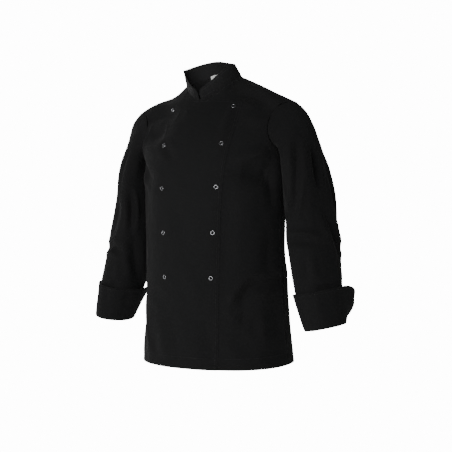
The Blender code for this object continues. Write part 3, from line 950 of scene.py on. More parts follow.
    def keep_cloth(self) -> None:
        """Store each corner's place in the cloth: round the piece and down it, in metres."""
        mesh = self.piece.data
        points = points_of(mesh)
        away = self.from_axis(points)
        angle = np.arctan2(away[:, 0], -away[:, 1])
        radius = float(np.linalg.norm(away[:, :2], axis=1).mean())
        starts, totals, vertices = self.corners()
        first_angle = np.repeat(angle[vertices[starts]], totals)
        turn = (angle[vertices] - first_angle + math.pi) % math.tau - math.pi + first_angle
        cloth = np.zeros((len(vertices), 3), dtype=np.float32)
        cloth[:, 0] = turn * radius
        cloth[:, 1] = points[vertices, 2] + self.over_shoulder * points[vertices, 1]
        attribute = mesh.attributes.new("cloth", "FLOAT_VECTOR", "CORNER")
        attribute.data.foreach_set("vector", cloth.ravel())

    def finish_with(self, material: bpy.types.Material) -> None:
        """Give the piece its finish and set it in the frame in its solid's place.

        Args:
            material: Its finish.
        """
        mesh = self.piece.data
        mesh.materials.append(material)
        mesh.polygons.foreach_set("material_index", np.zeros(len(mesh.polygons), dtype=np.int32))
        mesh.shade_smooth()
        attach(self.piece, BODY)
        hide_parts(self.node)

    def runs_at(self, kind: Edge) -> list:
        """Return the lines on the outside that a stitched line follows beside a kind of edge.

        Args:
            kind: The kind of edge.

        Returns:
            Pairs of arrays: the points of a line and the cloth's outward directions there.
        """
        inset = INSETS[kind]
        points = points_of(self.piece.data)
        above = self.near[kind] - inset
        index, normals = self.outside()
        normal_of = np.zeros((len(points), 3))
        normal_of[index] = normals
        starts, totals, vertices = self.corners()
        links = {}
        for face in np.nonzero(self.sides() == Face.OUTSIDE.value)[0]:
            ring = vertices[starts[face]:starts[face] + totals[face]]
            pairs = zip(ring, np.roll(ring, -1))
            crossed = [(min(a, b), max(a, b)) for a, b in pairs if above[a] * above[b] < 0]
            if len(crossed) == 2:
                links.setdefault(crossed[0], []).append(crossed[1])
                links.setdefault(crossed[1], []).append(crossed[0])
        runs = []
        unseen = set(links)
        for start in sorted(links, key=lambda edge: (len(links[edge]), edge)):
            if start not in unseen:
                continue
            chain, here = [], start
            while here is not None:
                unseen.discard(here)
                chain.append(here)
                here = next((edge for edge in links[here] if edge in unseen), None)
            low, high = np.array(chain).T
            share = (above[low] / (above[low] - above[high]))[:, None]
            runs.append((
                points[low] + (points[high] - points[low]) * share,
                normal_of[low] + (normal_of[high] - normal_of[low]) * share,
            ))
        return runs

    def dress(self, drape: Drape, material: bpy.types.Material, slot: str = "twill") -> None:
        """Build the piece whole.

        Args:
            drape: Its folds.
            material: Its finish.
            slot: The frame's name of the finish; not used.
        """
        self.copy_solid()
        self.mark_sides()
        self.refine()
        self.measure()
        self.close_seams()
        self.press(drape)
        self.lay_edges()
        self.keep_cloth()
        self.runs = {kind: self.runs_at(kind) for kind in self.stitched}
        self.seat = self.outside()
        self.finish_with(material)

    def declare(self, pieces_on_it: list) -> None:
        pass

    def seat_near(self, place: Vector) -> tuple:
        """Return the nearest point of the outside and its normal, once the piece is built.

        Args:
            place: Where a stud goes.

        Returns:
            The point and the normal.
        """
        index, normals = self.seat
        points = points_of(self.piece.data)[index]
        nearest = int(np.argmin(((points - np.array(place)) ** 2).sum(axis=1)))
        return Vector(points[nearest]), Vector(normals[nearest])


@dataclass(frozen=True)
class Topstitching:
    """Lines of lockstitch beside the edges of one piece."""

    pitch: float = 0.0032
    length: float = 0.0025
    thickness: float = 0.00048
    lift: float = 0.00005
    least_run: float = 0.012

    def template(self) -> bpy.types.Mesh:
        """Model one stitch along X, with Z away from the cloth.

        Returns:
            The stitch's mesh.
        """
        deselect_all()
        bpy.ops.mesh.primitive_uv_sphere_add(segments=6, ring_count=4, radius=0.5)
        stitch = bpy.context.object
        bpy.ops.object.mode_set(mode="EDIT")
        bpy.ops.mesh.select_all(action="SELECT")
        bpy.ops.transform.rotate(value=math.pi / 2, orient_axis="Y", center_override=(0.0, 0.0, 0.0))
        size = (self.length, self.thickness, self.thickness)
        bpy.ops.transform.resize(value=size, center_override=(0.0, 0.0, 0.0))
        bpy.ops.object.mode_set(mode="OBJECT")
        mesh = stitch.data
        bpy.data.objects.remove(stitch)
        return mesh

    def places(self, run: tuple) -> list:
        """Return the frames of the stitches along one line.

        Args:
            run: The line's points and the cloth's outward directions there.

        Returns:
            A place and a turn for each stitch.
        """
        points, normals = run
        steps = np.linalg.norm(np.diff(points, axis=0), axis=1)
        length = np.concatenate([[0.0], np.cumsum(steps)])
        if length[-1] < self.least_run:
            return []
        stops = np.arange(self.pitch, length[-1] - self.pitch, self.pitch)

        def read(values: np.ndarray, at: np.ndarray) -> np.ndarray:
            """Return a line's values at lengths along it."""
            return np.stack([np.interp(at, length, values[:, axis]) for axis in range(3)], axis=-1)

        middle, normal = read(points, stops), read(normals, stops)
        run_way = read(points, stops + self.pitch / 2) - read(points, stops - self.pitch / 2)
        frames = []
        for place, up, way in zip(middle, normal, run_way):
            up, way = Vector(up).normalized(), Vector(way).normalized()
            side = up.cross(way).normalized()
            turn = Matrix((side.cross(up), side, up)).transposed()
            frames.append((Vector(place) + up * self.lift, turn))
        return frames

    def sew(self, piece: SewnPiece, thread: bpy.types.Material) -> list:
        """Stitch a piece and return the lines of stitches as a list of one object, or none.

        Args:
            piece: The piece, once it is dressed.
            thread: The thread's finish.

        Returns:
            The list.
        """
        frames = []
        for runs in piece.runs.values():
            for run in runs:
                frames += self.places(run)
        if not frames:
            return []
        stitch = self.template()
        corners = points_of(stitch)
        faces = [tuple(polygon.vertices) for polygon in stitch.polygons]
        points, rings = [], []
        for number, (place, turn) in enumerate(frames):
            points.append(corners @ np.array(turn).T + np.array(place))
            base = number * len(corners)
            rings += [tuple(base + vertex for vertex in ring) for ring in faces]
        mesh = bpy.data.meshes.new(f"stitching_{piece.node}")
        mesh.from_pydata(np.vstack(points).tolist(), [], rings)
        mesh.shade_smooth()
        mesh.materials.append(thread)
        line = link(bpy.data.objects.new(mesh.name, mesh))
        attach(line, BODY)
        LOG.info("%s: %d stitches", line.name, len(frames))
        return [line]


@dataclass(frozen=True)
class RingStud:
    """An open press stud: a half-round ring over a thin washer, with the cloth in its middle."""

    outer: float = 0.0054
    inner: float = 0.0036
    height: float = 0.0009
    washer_outer: float = 0.0055
    washer: float = 0.00025       # the washer's thickness
    around: int = 40              # faces round the ring
    across: int = 14              # and round its section

    def ring(self) -> bpy.types.Object:
        """Model the ring about Z, its foot at the origin.

        Returns:
            The ring.
        """
        deselect_all()
        middle, half = (self.outer + self.inner) / 2, (self.outer - self.inner) / 2
        bpy.ops.mesh.primitive_torus_add(
            major_radius=middle, minor_radius=half, major_segments=self.around, minor_segments=self.across)
        ring = bpy.context.object
        bpy.ops.object.mode_set(mode="EDIT")
        bpy.ops.mesh.select_all(action="SELECT")
        bpy.ops.transform.resize(value=(1.0, 1.0, self.height / half), center_override=(0.0, 0.0, 0.0))
        bpy.ops.mesh.bisect(
            plane_co=(0.0, 0.0, 0.0), plane_no=(0.0, 0.0, 1.0), clear_inner=True, use_fill=False)
        bpy.ops.object.mode_set(mode="OBJECT")
        return ring

    def foot(self) -> bpy.types.Object:
        """Model the washer under the ring.

        Returns:
            The washer.
        """
        deselect_all()
        bpy.ops.mesh.primitive_circle_add(
            vertices=self.around, radius=self.washer_outer, fill_type="NOTHING")
        foot = bpy.context.object
        bpy.ops.object.mode_set(mode="EDIT")
        bpy.ops.mesh.select_all(action="SELECT")
        bpy.ops.mesh.extrude_region_move(TRANSFORM_OT_translate={"value": (0.0, 0.0, self.washer)})
        share = self.inner / self.washer_outer
        bpy.ops.mesh.extrude_region_move(TRANSFORM_OT_translate={"value": (0.0, 0.0, 0.0)})
        bpy.ops.transform.resize(value=(share, share, 1.0), center_override=(0.0, 0.0, 0.0))
        bpy.ops.mesh.extrude_region_move(TRANSFORM_OT_translate={"value": (0.0, 0.0, -self.washer)})
        bpy.ops.object.mode_set(mode="OBJECT")
        return foot

    def build(self) -> bpy.types.Mesh:
        """Model one stud and return its mesh.

        Returns:
            The mesh.
        """
        ring, foot = self.ring(), self.foot()
        deselect_all()
        ring.select_set(True)
        foot.select_set(True)
        bpy.context.view_layer.objects.active = ring
        bpy.ops.object.join()
        ring.data.shade_smooth()
        mesh = ring.data
        bpy.data.objects.remove(ring)
        return mesh

    def fit(self, pattern: bpy.types.Mesh, node: str, front: SewnPiece,
            material: bpy.types.Material) -> bpy.types.Object:
        """Seat one stud on a front where its solid stands and return it.

        Args:
            pattern: The stud's mesh.
            node: The name of its solid.
            front: The front that it sits on.
            material: Its finish.

        Returns:
            The stud.
        """
        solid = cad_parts[node].data
        place, normal = front.seat_near(Vector(points_of(solid).mean(axis=0)))
        mesh = pattern.copy()
        mesh.name = f"ring_{node}"
        turn = normal.to_track_quat("Z", "Y").to_matrix().to_4x4()
        mesh.transform(Matrix.Translation(place) @ turn)
        mesh.materials.append(material)
        stud = link(bpy.data.objects.new(mesh.name, mesh))
        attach(stud, BODY)
        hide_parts(node)
        return stud


# ------------------------------------------------------------------------------- studio
@dataclass(frozen=True)
class Lamp:
    """A soft lamp: a square one, or with a cone a round one whose light fades towards its rim.

    Attributes:
        name: Its name.
        place: Where it stands.
        size: A square lamp's side, or the radius of a round one.
        power: Its power in watts.
        aim: The place that it faces.
        cone: The full angle of a round lamp's cone, or 0 for a square one.
    """

    name: str
    place: tuple
    size: float
    power: float
    aim: tuple = (0.0, 0.0, -0.35)
    cone: float = 0.0


@dataclass(frozen=True)
class Studio:
    """A round pale floor in a white room, soft lamps and the camera."""

    floor_height: float = -1.45
    floor_radius: float = 1.55
    camera_place: tuple = (1.3876, -2.2165, -0.2525)
    camera_yaw: float = math.radians(31.583)
    camera_pitch: float = math.radians(-2.849)
    camera_roll: float = math.radians(-1.976)
    lens: float = 80.04
    wall: float = 14.0            # brightness of the room's walls as seen
    glow: float = 0.15            # and as light on the jacket
    ceiling: float = 0.08
    walls_end: float = 0.1        # height at which the glow starts to fade, from -1 to 1
    ceiling_start: float = 0.7    # and at which the ceiling's is reached
    lamps: tuple = (
        Lamp("key", (0.45, -2.8, -0.05), 1.5, 43.0),
        Lamp("side", (-2.6, -1.2, -0.40), 1.4, 13.0),
        Lamp("fill", (2.2, -2.2, -0.30), 1.3, 7.0),
        Lamp("rear", (-1.4, 2.7, 0.20), 1.6, 40.0),
        Lamp("rear_side", (-2.8, 1.2, 0.00), 1.4, 18.0),
        Lamp("chest", (-0.2, -2.5, -0.80), 0.25, 24.0, (-0.02, -0.14, -0.30), math.radians(16.0)),
        Lamp("neck", (1.2, -2.25, 0.05), 0.05, 300.0, (-0.045, 0.038, 0.016), math.radians(2.6)),
    )

    def build_floor(self) -> None:
        """Lay the floor."""
        deselect_all()
        bpy.ops.mesh.primitive_circle_add(
            vertices=96, radius=self.floor_radius, fill_type="NGON", location=(0.0, 0.0, self.floor_height))
        floor = bpy.context.object
        floor.name = "floor"
        floor.data.materials.append(BackdropFinish().build())

    def build_surroundings(self) -> None:
        """Make the room: white walls to look at, an even glow on the jacket and a dimmer ceiling."""
        world = bpy.data.worlds.new("studio")
        world.use_nodes = True
        tree = world.node_tree
        split = tree.nodes.new("ShaderNodeSeparateXYZ")
        tree.links.new(tree.nodes.new("ShaderNodeTexCoord").outputs["Generated"], split.inputs[0])
        level = tree.nodes.new("ShaderNodeMapRange")
        level.interpolation_type = "SMOOTHSTEP"
        tree.links.new(split.outputs["Z"], level.inputs["Value"])
        levels = (self.walls_end, self.ceiling_start, self.glow, self.ceiling)
        for key, number in zip(("From Min", "From Max", "To Min", "To Max"), levels):
            level.inputs[key].default_value = number
        seen = tree.nodes.new("ShaderNodeMix")
        tree.links.new(tree.nodes.new("ShaderNodeLightPath").outputs["Is Camera Ray"], seen.inputs["Factor"])
        tree.links.new(level.outputs["Result"], seen.inputs["A"])
        seen.inputs["B"].default_value = self.wall
        tree.links.new(seen.outputs["Result"], tree.nodes["Background"].inputs["Strength"])
        tree.nodes["Background"].inputs["Color"].default_value = (1.0, 1.0, 1.0, 1.0)
        bpy.context.scene.world = world

    def add_lamp(self, lamp: Lamp) -> None:
        """Set up a lamp that faces its aim.

        Args:
            lamp: The lamp.
        """
        light = bpy.data.lights.new(lamp.name, "SPOT" if lamp.cone else "AREA")
        if lamp.cone:
            light.shadow_soft_size = lamp.size
            light.spot_size = lamp.cone
            light.spot_blend = 1.0
        else:
            light.size = lamp.size
        light.energy = lamp.power
        thing = link(bpy.data.objects.new(lamp.name, light))
        thing.location = lamp.place
        thing.rotation_euler = (Vector(lamp.aim) - Vector(lamp.place)).to_track_quat("-Z", "Y").to_euler()

    def build_camera(self) -> None:
        """Set up the camera."""
        camera = bpy.data.cameras.new("camera")
        camera.lens = self.lens
        camera.sensor_width = 36.0
        thing = link(bpy.data.objects.new("camera", camera))
        turn = (
            Matrix.Rotation(self.camera_yaw, 4, "Z")
            @ Matrix.Rotation(math.pi / 2 + self.camera_pitch, 4, "X")
            @ Matrix.Rotation(self.camera_roll, 4, "Z")
        )
        thing.matrix_world = Matrix.Translation(self.camera_place) @ turn
        bpy.context.scene.camera = thing

    def build(self) -> None:
        """Build the studio."""
        self.build_camera()
        self.build_floor()
        self.build_surroundings()
        for lamp in self.lamps:
            self.add_lamp(lamp)


# ------------------------------------------------------------------------------- the jacket
TRUNK_FOLDS = (
    # under the wearer's left arm: the deep hollow, the shelf over it and the line down the side
    Fold(((0.189, -0.045, -0.256), (0.176, -0.066, -0.254), (0.158, -0.082, -0.249), (0.132, -0.104, -0.245)),
         0.024, 0.0210, 0.2, -0.8),
    Fold(((0.188, -0.048, -0.218), (0.185, -0.050, -0.244), (0.186, -0.048, -0.266), (0.191, -0.034, -0.292)),
         0.016, 0.0090, 0.1),
    Fold(((0.187, -0.052, -0.190), (0.162, -0.079, -0.204), (0.142, -0.096, -0.213), (0.106, -0.112, -0.221)),
         0.013, -0.0090, 0.1),
    Fold(((0.192, -0.042, -0.240), (0.191, -0.044, -0.290), (0.190, -0.046, -0.340)), 0.013, 0.0070, 0.2),
    Fold(((0.184, -0.056, -0.380), (0.181, -0.060, -0.450), (0.180, -0.066, -0.500)), 0.016, 0.0040, 0.2),
    # low on the left front: a long fold that comes round from the side and turns down
    Fold(((0.196, 0.010, -0.512), (0.183, -0.069, -0.519), (0.160, -0.099, -0.523), (0.143, -0.117, -0.546),
          (0.130, -0.128, -0.582)), 0.013, 0.0105, 0.5, -0.5),
    Fold(((0.132, -0.127, -0.538), (0.112, -0.138, -0.562)), 0.015, -0.0050, 0.2),
    Fold(((0.146, -0.118, -0.588), (0.132, -0.126, -0.616)), 0.009, 0.0045),
    Fold(((0.184, -0.056, -0.532), (0.176, -0.084, -0.558), (0.158, -0.104, -0.580)), 0.013, -0.0040, 0.2),
    Fold(((0.194, -0.052, -0.565), (0.197, -0.050, -0.630), (0.198, -0.062, -0.700)), 0.022, 0.0080, 0.3),
    Fold(((0.174, -0.092, -0.585), (0.180, -0.093, -0.630), (0.182, -0.092, -0.670)), 0.014, -0.0035, 0.2),
    Fold(((0.170, -0.104, -0.690), (0.205, -0.010, -0.700)), 0.018, 0.0050),
    Fold(((0.120, -0.130, -0.640), (0.150, -0.118, -0.690)), 0.015, 0.0040, 0.5),
    # beside the closure and over the shoulders
    Fold(((0.116, -0.055, -0.080), (0.108, -0.075, -0.112), (0.098, -0.097, -0.150)),
         0.011, 0.0060, 0.4, -0.5),
    Fold(((0.100, -0.038, -0.050), (0.144, -0.031, -0.059), (0.178, -0.028, -0.080)),
         0.013, 0.0105, 0.4, 0.5),
    Fold(((0.068, -0.010, 0.006), (0.076, -0.024, -0.016), (0.086, -0.034, -0.040)), 0.014, 0.0080, 0.2),
    Fold(((0.140, -0.045, -0.086), (0.205, -0.028, -0.094)), 0.015, 0.0060, 0.4),
    Fold(((0.128, -0.060, -0.110), (0.172, -0.052, -0.132)), 0.013, -0.0030, 0.2),
    Fold(((-0.194, -0.029, -0.098), (-0.150, -0.043, -0.092), (-0.110, -0.060, -0.090),
          (-0.060, -0.078, -0.096)), 0.017, 0.0090, 0.35, 0.3),
    Fold(((-0.172, -0.055, -0.126), (-0.130, -0.072, -0.140), (-0.094, -0.086, -0.132)), 0.022, 0.0110, 0.3),
    Fold(((-0.084, -0.108, -0.172), (-0.050, -0.123, -0.202)), 0.011, 0.0040),
    Fold(((-0.198, -0.036, -0.112), (-0.190, -0.052, -0.150), (-0.178, -0.066, -0.196)), 0.010, -0.0055, 0.1),
    # the wearer's right side
    Fold(((-0.190, -0.042, -0.205), (-0.156, -0.092, -0.240), (-0.118, -0.118, -0.256)),
         0.014, 0.0080, 0.4, -0.4),
    Fold(((-0.192, -0.034, -0.240), (-0.180, -0.064, -0.310), (-0.172, -0.080, -0.385),
          (-0.160, -0.098, -0.450)), 0.013, 0.0070, 0.3),
    Fold(((-0.190, -0.010, -0.500), (-0.176, -0.080, -0.530), (-0.150, -0.108, -0.575)), 0.013, 0.0065, 0.4),
    Fold(((-0.180, -0.090, -0.620), (-0.150, -0.115, -0.705)), 0.015, 0.0050),
    Fold(((-0.120, -0.128, -0.640), (-0.100, -0.138, -0.712)), 0.017, 0.0036),
    # across the closure
    Fold(((0.112, -0.124, -0.290), (0.104, -0.136, -0.400), (0.100, -0.141, -0.500)), 0.018, 0.0040),
    Fold(((-0.020, -0.160, -0.330), (-0.004, -0.163, -0.430)), 0.022, 0.0026),
    Fold(((0.000, -0.162, -0.480), (0.040, -0.158, -0.560)), 0.020, -0.0026, 0.2),
    Fold(((-0.060, -0.155, -0.590), (-0.030, -0.160, -0.690)), 0.020, 0.0036),
    Fold(((0.050, -0.158, -0.600), (0.064, -0.155, -0.705)), 0.018, 0.0034),
    Fold(((-0.110, -0.130, -0.540), (-0.060, -0.150, -0.568)), 0.014, 0.0026),
    # the back: folds fanning from both armholes, the hollow of the waist and the long drapes
    Fold(((0.182, 0.048, -0.190), (0.130, 0.098, -0.250), (0.078, 0.114, -0.285)), 0.013, 0.0065, 0.5, 0.4),
    Fold(((0.188, 0.040, -0.235), (0.150, 0.084, -0.330), (0.120, 0.100, -0.400)), 0.012, 0.0052, 0.4),
    Fold(((0.176, 0.060, -0.130), (0.148, 0.088, -0.150), (0.120, 0.102, -0.180)), 0.011, 0.0040),
    Fold(((-0.180, 0.050, -0.196), (-0.122, 0.101, -0.262), (-0.066, 0.116, -0.290)),
         0.013, 0.0060, 0.5, -0.4),
    Fold(((-0.186, 0.042, -0.245), (-0.158, 0.078, -0.345), (-0.135, 0.092, -0.430)), 0.012, 0.0050, 0.4),
    Fold(((-0.170, 0.064, -0.120), (-0.140, 0.092, -0.150)), 0.010, 0.0036),
    Fold(((0.150, 0.080, -0.440), (0.080, 0.106, -0.480), (0.010, 0.110, -0.470)), 0.013, 0.0048, 0.5, 0.5),
    Fold(((-0.160, 0.075, -0.470), (-0.095, 0.101, -0.505), (-0.030, 0.109, -0.500)),
         0.012, 0.0042, 0.4, -0.5),
    Fold(((0.030, 0.112, -0.330), (0.052, 0.110, -0.520), (0.060, 0.110, -0.690)), 0.020, 0.0042),
    Fold(((-0.045, 0.112, -0.360), (-0.052, 0.110, -0.540), (-0.078, 0.108, -0.710)), 0.022, 0.0040),
    Fold(((0.120, 0.092, -0.540), (0.140, 0.088, -0.710)), 0.018, 0.0044),
    Fold(((-0.130, 0.088, -0.560), (-0.150, 0.082, -0.715)), 0.017, 0.0040),
    Fold(((0.060, 0.100, -0.110), (0.000, 0.118, -0.135), (-0.070, 0.098, -0.112)), 0.016, 0.0030),
)
LEFT_ARM_FOLDS = (
    Fold(((0.260, -0.040, -0.176), (0.270, -0.063, -0.240), (0.268, -0.069, -0.292), (0.259, -0.070, -0.335),
          (0.241, -0.062, -0.350)), 0.0085, 0.0080, 0.4),
    Fold(((0.281, 0.000, -0.180), (0.292, -0.007, -0.233), (0.305, -0.020, -0.296)),
         0.0120, 0.0105, 0.4, 0.3),
    Fold(((0.243, -0.050, -0.176), (0.252, -0.070, -0.240)), 0.0090, -0.0036, 0.2),
    Fold(((0.272, -0.024, -0.180), (0.285, -0.046, -0.245), (0.289, -0.052, -0.300)), 0.0090, -0.0036, 0.2),
    Fold(((0.230, -0.050, -0.270), (0.240, -0.066, -0.320), (0.247, -0.066, -0.360)), 0.0080, -0.0030, 0.2),
    Fold(((0.232, -0.058, -0.396), (0.276, -0.071, -0.396), (0.310, -0.058, -0.400)), 0.0080, -0.0050, 0.1),
    Fold(((0.240, -0.070, -0.418), (0.277, -0.073, -0.414), (0.318, -0.054, -0.420)),
         0.0090, 0.0085, 0.3, 0.3),
    Fold(((0.290, -0.082, -0.455), (0.296, -0.084, -0.510)), 0.0080, 0.0040),
    Fold(((0.310, -0.080, -0.440), (0.318, -0.079, -0.510)), 0.0090, -0.0034),
    Fold(((0.264, -0.086, -0.470), (0.268, -0.088, -0.520)), 0.0080, -0.0024),
    Fold(((0.312, -0.084, -0.520), (0.338, -0.070, -0.526), (0.354, -0.040, -0.524)), 0.0080, 0.0070, 0.3),
    Fold(((0.316, -0.030, -0.320), (0.334, 0.000, -0.400), (0.338, 0.010, -0.480)), 0.0140, 0.0080, 0.4),
    Fold(((0.312, -0.046, -0.310), (0.322, -0.050, -0.380)), 0.0110, 0.0045, 0.3),
    Fold(((0.300, 0.050, -0.200), (0.316, 0.052, -0.300), (0.322, 0.046, -0.370)), 0.0130, 0.0085, 0.4, 0.4),
    Fold(((0.246, 0.092, -0.190), (0.262, 0.096, -0.300)), 0.0120, 0.0075),
    Fold(((0.272, 0.080, -0.225), (0.286, 0.082, -0.310)), 0.0100, -0.0036, 0.2),
    Fold(((0.246, 0.085, -0.388), (0.292, 0.074, -0.406), (0.330, 0.040, -0.396)), 0.0095, 0.0090, 0.5, 0.5),
    Fold(((0.250, 0.076, -0.430), (0.296, 0.064, -0.442), (0.334, 0.020, -0.438)), 0.0090, 0.0070, 0.4),
    Fold(((0.286, 0.060, -0.470), (0.320, 0.034, -0.550)), 0.0120, 0.0065),
    Fold(((0.226, 0.070, -0.290), (0.222, 0.045, -0.330), (0.224, 0.030, -0.370)), 0.0100, 0.0040, 0.3),
    Fold(((0.246, 0.044, -0.516), (0.262, -0.010, -0.548), (0.278, -0.064, -0.540)), 0.0100, 0.0060),
)
RIGHT_ARM_FOLDS = (
    Fold(((-0.231, -0.064, -0.286), (-0.231, -0.060, -0.340), (-0.236, -0.062, -0.392)), 0.0080, 0.0090, 0.4),
    Fold(((-0.220, -0.050, -0.296), (-0.225, -0.053, -0.378)), 0.0065, -0.0034, 0.2),
    Fold(((-0.233, -0.060, -0.400), (-0.231, -0.052, -0.470), (-0.238, -0.036, -0.535)), 0.0135, 0.0100, 0.3),
    Fold(((-0.254, -0.070, -0.290), (-0.258, -0.072, -0.370)), 0.0090, -0.0030, 0.2),
    Fold(((-0.270, -0.066, -0.310), (-0.286, -0.064, -0.360), (-0.304, -0.060, -0.410)), 0.0120, 0.0046, 0.3),
    Fold(((-0.318, -0.084, -0.531), (-0.292, -0.092, -0.536), (-0.264, -0.084, -0.530)), 0.0080, 0.0055, 0.3),
    Fold(((-0.236, -0.046, -0.165), (-0.256, -0.064, -0.225), (-0.264, -0.070, -0.290)), 0.0115, 0.0050, 0.4),
    Fold(((-0.216, -0.040, -0.190), (-0.226, -0.055, -0.250)), 0.0100, -0.0050, 0.2),
    Fold(((-0.258, -0.080, -0.446), (-0.300, -0.070, -0.428), (-0.330, -0.034, -0.444)),
         0.0095, 0.0065, 0.4, 0.4),
    Fold(((-0.268, -0.084, -0.470), (-0.276, -0.086, -0.520)), 0.0090, -0.0026, 0.2),
    Fold(((-0.286, -0.020, -0.180), (-0.304, -0.016, -0.275)), 0.0130, 0.0080, 0.4),
    Fold(((-0.318, -0.030, -0.330), (-0.334, 0.004, -0.420), (-0.336, 0.006, -0.510)), 0.0140, 0.0072, 0.4),
    Fold(((-0.298, 0.052, -0.195), (-0.314, 0.054, -0.290), (-0.322, 0.044, -0.365)),
         0.0130, 0.0082, 0.4, -0.4),
    Fold(((-0.240, 0.090, -0.200), (-0.258, 0.095, -0.305)), 0.0115, 0.0070),
    Fold(((-0.270, 0.082, -0.235), (-0.284, 0.083, -0.300)), 0.0100, -0.0034, 0.2),
    Fold(((-0.248, 0.084, -0.398), (-0.294, 0.072, -0.416), (-0.330, 0.036, -0.404)),
         0.0095, 0.0085, 0.5, -0.5),
    Fold(((-0.258, 0.072, -0.442), (-0.302, 0.060, -0.454), (-0.336, 0.018, -0.448)), 0.0085, 0.0065, 0.4),
    Fold(((-0.282, 0.062, -0.478), (-0.318, 0.034, -0.555)), 0.0120, 0.0064),
    Fold(((-0.222, 0.062, -0.300), (-0.215, 0.018, -0.352), (-0.226, -0.032, -0.388)), 0.0110, 0.0076, 0.4),
)
LEFT_CUFF_FOLDS = (
    Fold(((0.285, -0.096, -0.536), (0.290, -0.095, -0.583), (0.296, -0.093, -0.624)), 0.0090, 0.0050, 0.3),
    Fold(((0.324, -0.092, -0.538), (0.329, -0.095, -0.596)), 0.0090, -0.0036, 0.2),
    Fold(((0.340, -0.074, -0.548), (0.348, -0.070, -0.606)), 0.0100, 0.0042, 0.3),
    Fold(((0.366, -0.045, -0.560), (0.368, -0.036, -0.612)), 0.0100, 0.0040, 0.3),
    Fold(((0.300, 0.030, -0.556), (0.312, 0.022, -0.620)), 0.0110, 0.0040, 0.3),
    Fold(((0.364, 0.020, -0.550), (0.358, 0.037, -0.574), (0.344, 0.056, -0.601)), 0.0170, -0.0120, 0.0),
)
RIGHT_CUFF_FOLDS = (
    Fold(((-0.249, -0.064, -0.550), (-0.259, -0.066, -0.588), (-0.276, -0.075, -0.624)), 0.0090, 0.0050, 0.3),
    Fold(((-0.296, -0.096, -0.540), (-0.304, -0.094, -0.604)), 0.0100, 0.0034),
    Fold(((-0.344, -0.070, -0.552), (-0.350, -0.064, -0.606)), 0.0100, 0.0038, 0.3),
    Fold(((-0.304, 0.028, -0.560), (-0.316, 0.020, -0.622)), 0.0110, 0.0042, 0.3),
)

TRUNK = ((0.0, 0.0, -0.75), (0.0, 0.0, -0.16))
NECK = ((0.0, 0.0, -0.06), (0.0, 0.0, 0.05))
BODY_SEAMS = (Edge.FREE, Edge.HEM, Edge.SEAM)
HEM_UNDER = -0.722                        # a free edge below this is the hem
SHOULDER, WRIST = (0.215, 0.020, -0.14), (0.322, -0.040, -0.60)     # ends of the line in the left sleeve

# The width and length of the rectangle that a piece is cut from, and the cut's own flat area.
FRONT_CUT = (0.37, 0.79), 0.25
BACK_CUT = (0.56, 0.80), 0.367
COLLAR_CUT = (0.47, 0.037), 0.0168
SLEEVE_CUT = (0.46, 0.62), 0.199
CUFF_CUT = (0.40, 0.135), 0.052
LABEL_CUT = (0.046, 0.026), 0.00119


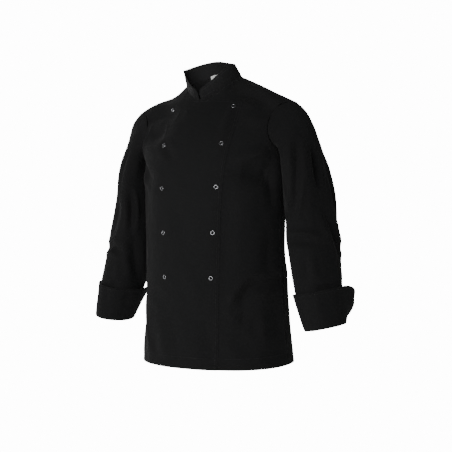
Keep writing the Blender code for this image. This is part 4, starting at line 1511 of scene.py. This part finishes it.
@dataclass
class Jacket:
    """The whole jacket: its sewn pieces, their stitches, the studs and the label."""

    twill: bpy.types.Material
    thread: bpy.types.Material
    nickel: bpy.types.Material
    tape: bpy.types.Material
    stud_rows: int = 5

    def arm_of(self, side: int) -> tuple:
        """Return the line that a sleeve goes round."""
        return tuple((side * across, depth, height) for across, depth, height in (SHOULDER, WRIST))

    def body(self) -> list:
        """Return the fronts, the back and the collar with their drape.

        Returns:
            Pairs of a piece and its drape.
        """
        trunk = Drape(TRUNK_FOLDS)
        right = SewnPiece("front_right", 3, TRUNK, *FRONT_CUT, ("sleeve_right", "collar", "back"), BODY_SEAMS,
                          HEM_UNDER, over_shoulder=0.5, rests_on=("cloth_back", "cloth_front_left"),
                          sink=0.0010, thinning=0.0008)
        left = SewnPiece("front_left", 3, TRUNK, *FRONT_CUT, ("sleeve_left", "collar", "back"),
                         (Edge.HEM, Edge.SEAM), HEM_UNDER, over_shoulder=0.5, rests_on=("cloth_back",))
        back = SewnPiece("back", 3, TRUNK, *BACK_CUT, ("sleeve_right", "sleeve_left", "collar"), BODY_SEAMS,
                         HEM_UNDER, over_shoulder=-0.5)
        collar = SewnPiece("collar", 3, NECK, *COLLAR_CUT, ("front_right", "front_left", "back"),
                           relief=0.4, rests_on=("cloth_back", "cloth_front_right", "cloth_front_left"))
        return [(piece, trunk) for piece in (right, left, back, collar)]

    def arms(self) -> list:
        """Return the sleeves and the cuffs with their drapes.

        Returns:
            Pairs of a piece and its drape.
        """
        folds = {1: (LEFT_ARM_FOLDS, LEFT_CUFF_FOLDS), -1: (RIGHT_ARM_FOLDS, RIGHT_CUFF_FOLDS)}
        made = []
        for side, word in ((-1, "right"), (1, "left")):
            arm = self.arm_of(side)
            sleeve = SewnPiece(f"sleeve_{word}", 3, arm, *SLEEVE_CUT, (f"front_{word}", "back"), (),
                               rests_on=(f"cloth_front_{word}", "cloth_back"))
            cuff = SewnPiece(f"cuff_{word}", 2, arm, *CUFF_CUT, (f"sleeve_{word}",), relief=0.6,
                             held="folded", rests_on=(f"cloth_sleeve_{word}",))
            made += [(sleeve, Drape(folds[side][0])), (cuff, Drape(folds[side][1]))]
        return made

    def fit_studs(self, front: SewnPiece) -> list:
        """Seat the studs in their two columns and return them.

        Args:
            front: The right front, once it is dressed.

        Returns:
            The studs.
        """
        stud = RingStud()
        pattern = stud.build()
        rows = range(1, self.stud_rows + 1)
        names = [f"stud_{word}_{row}" for word in ("right", "left") for row in rows]
        studs = [stud.fit(pattern, name, front, self.nickel) for name in names]
        LOG.info("studs: %d", len(studs))
        return studs

    def sew_label(self) -> None:
        """Build the bare label."""
        label = SewnPiece("neck_label", 3, NECK, *LABEL_CUT, rests_on=("cloth_collar",))
        label.dress(Drape((), wave=0.0006, ripple=0.0002), self.tape, "tape")
        label.declare([])
        LOG.info("label sewn in")

    def build(self) -> None:
        """Build the jacket piece by piece."""
        stitching = Topstitching()
        dressed, sewn_on = {}, {}
        for piece, drape in self.body() + self.arms():
            piece.dress(drape, self.twill)
            dressed[piece.node] = piece
            sewn_on[piece.node] = stitching.sew(piece, self.thread)
            LOG.info("%s: %d faces", piece.piece.name, len(piece.piece.data.polygons))
        sewn_on["front_right"] += self.fit_studs(dressed["front_right"])
        for node, piece in dressed.items():
            piece.declare(sewn_on[node])
        self.sew_label()


def main() -> None:
    """Build the studio and the jacket."""
    logging.basicConfig(level=logging.INFO, format="%(name)s: %(message)s")
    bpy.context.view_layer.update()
    Studio().build()
    LOG.info("studio set")
    finishes = (TwillFinish(), ThreadFinish(), NickelFinish(), TapeFinish())
    Jacket(*(finish.build() for finish in finishes)).build()


if __name__ == "__main__":
    main()
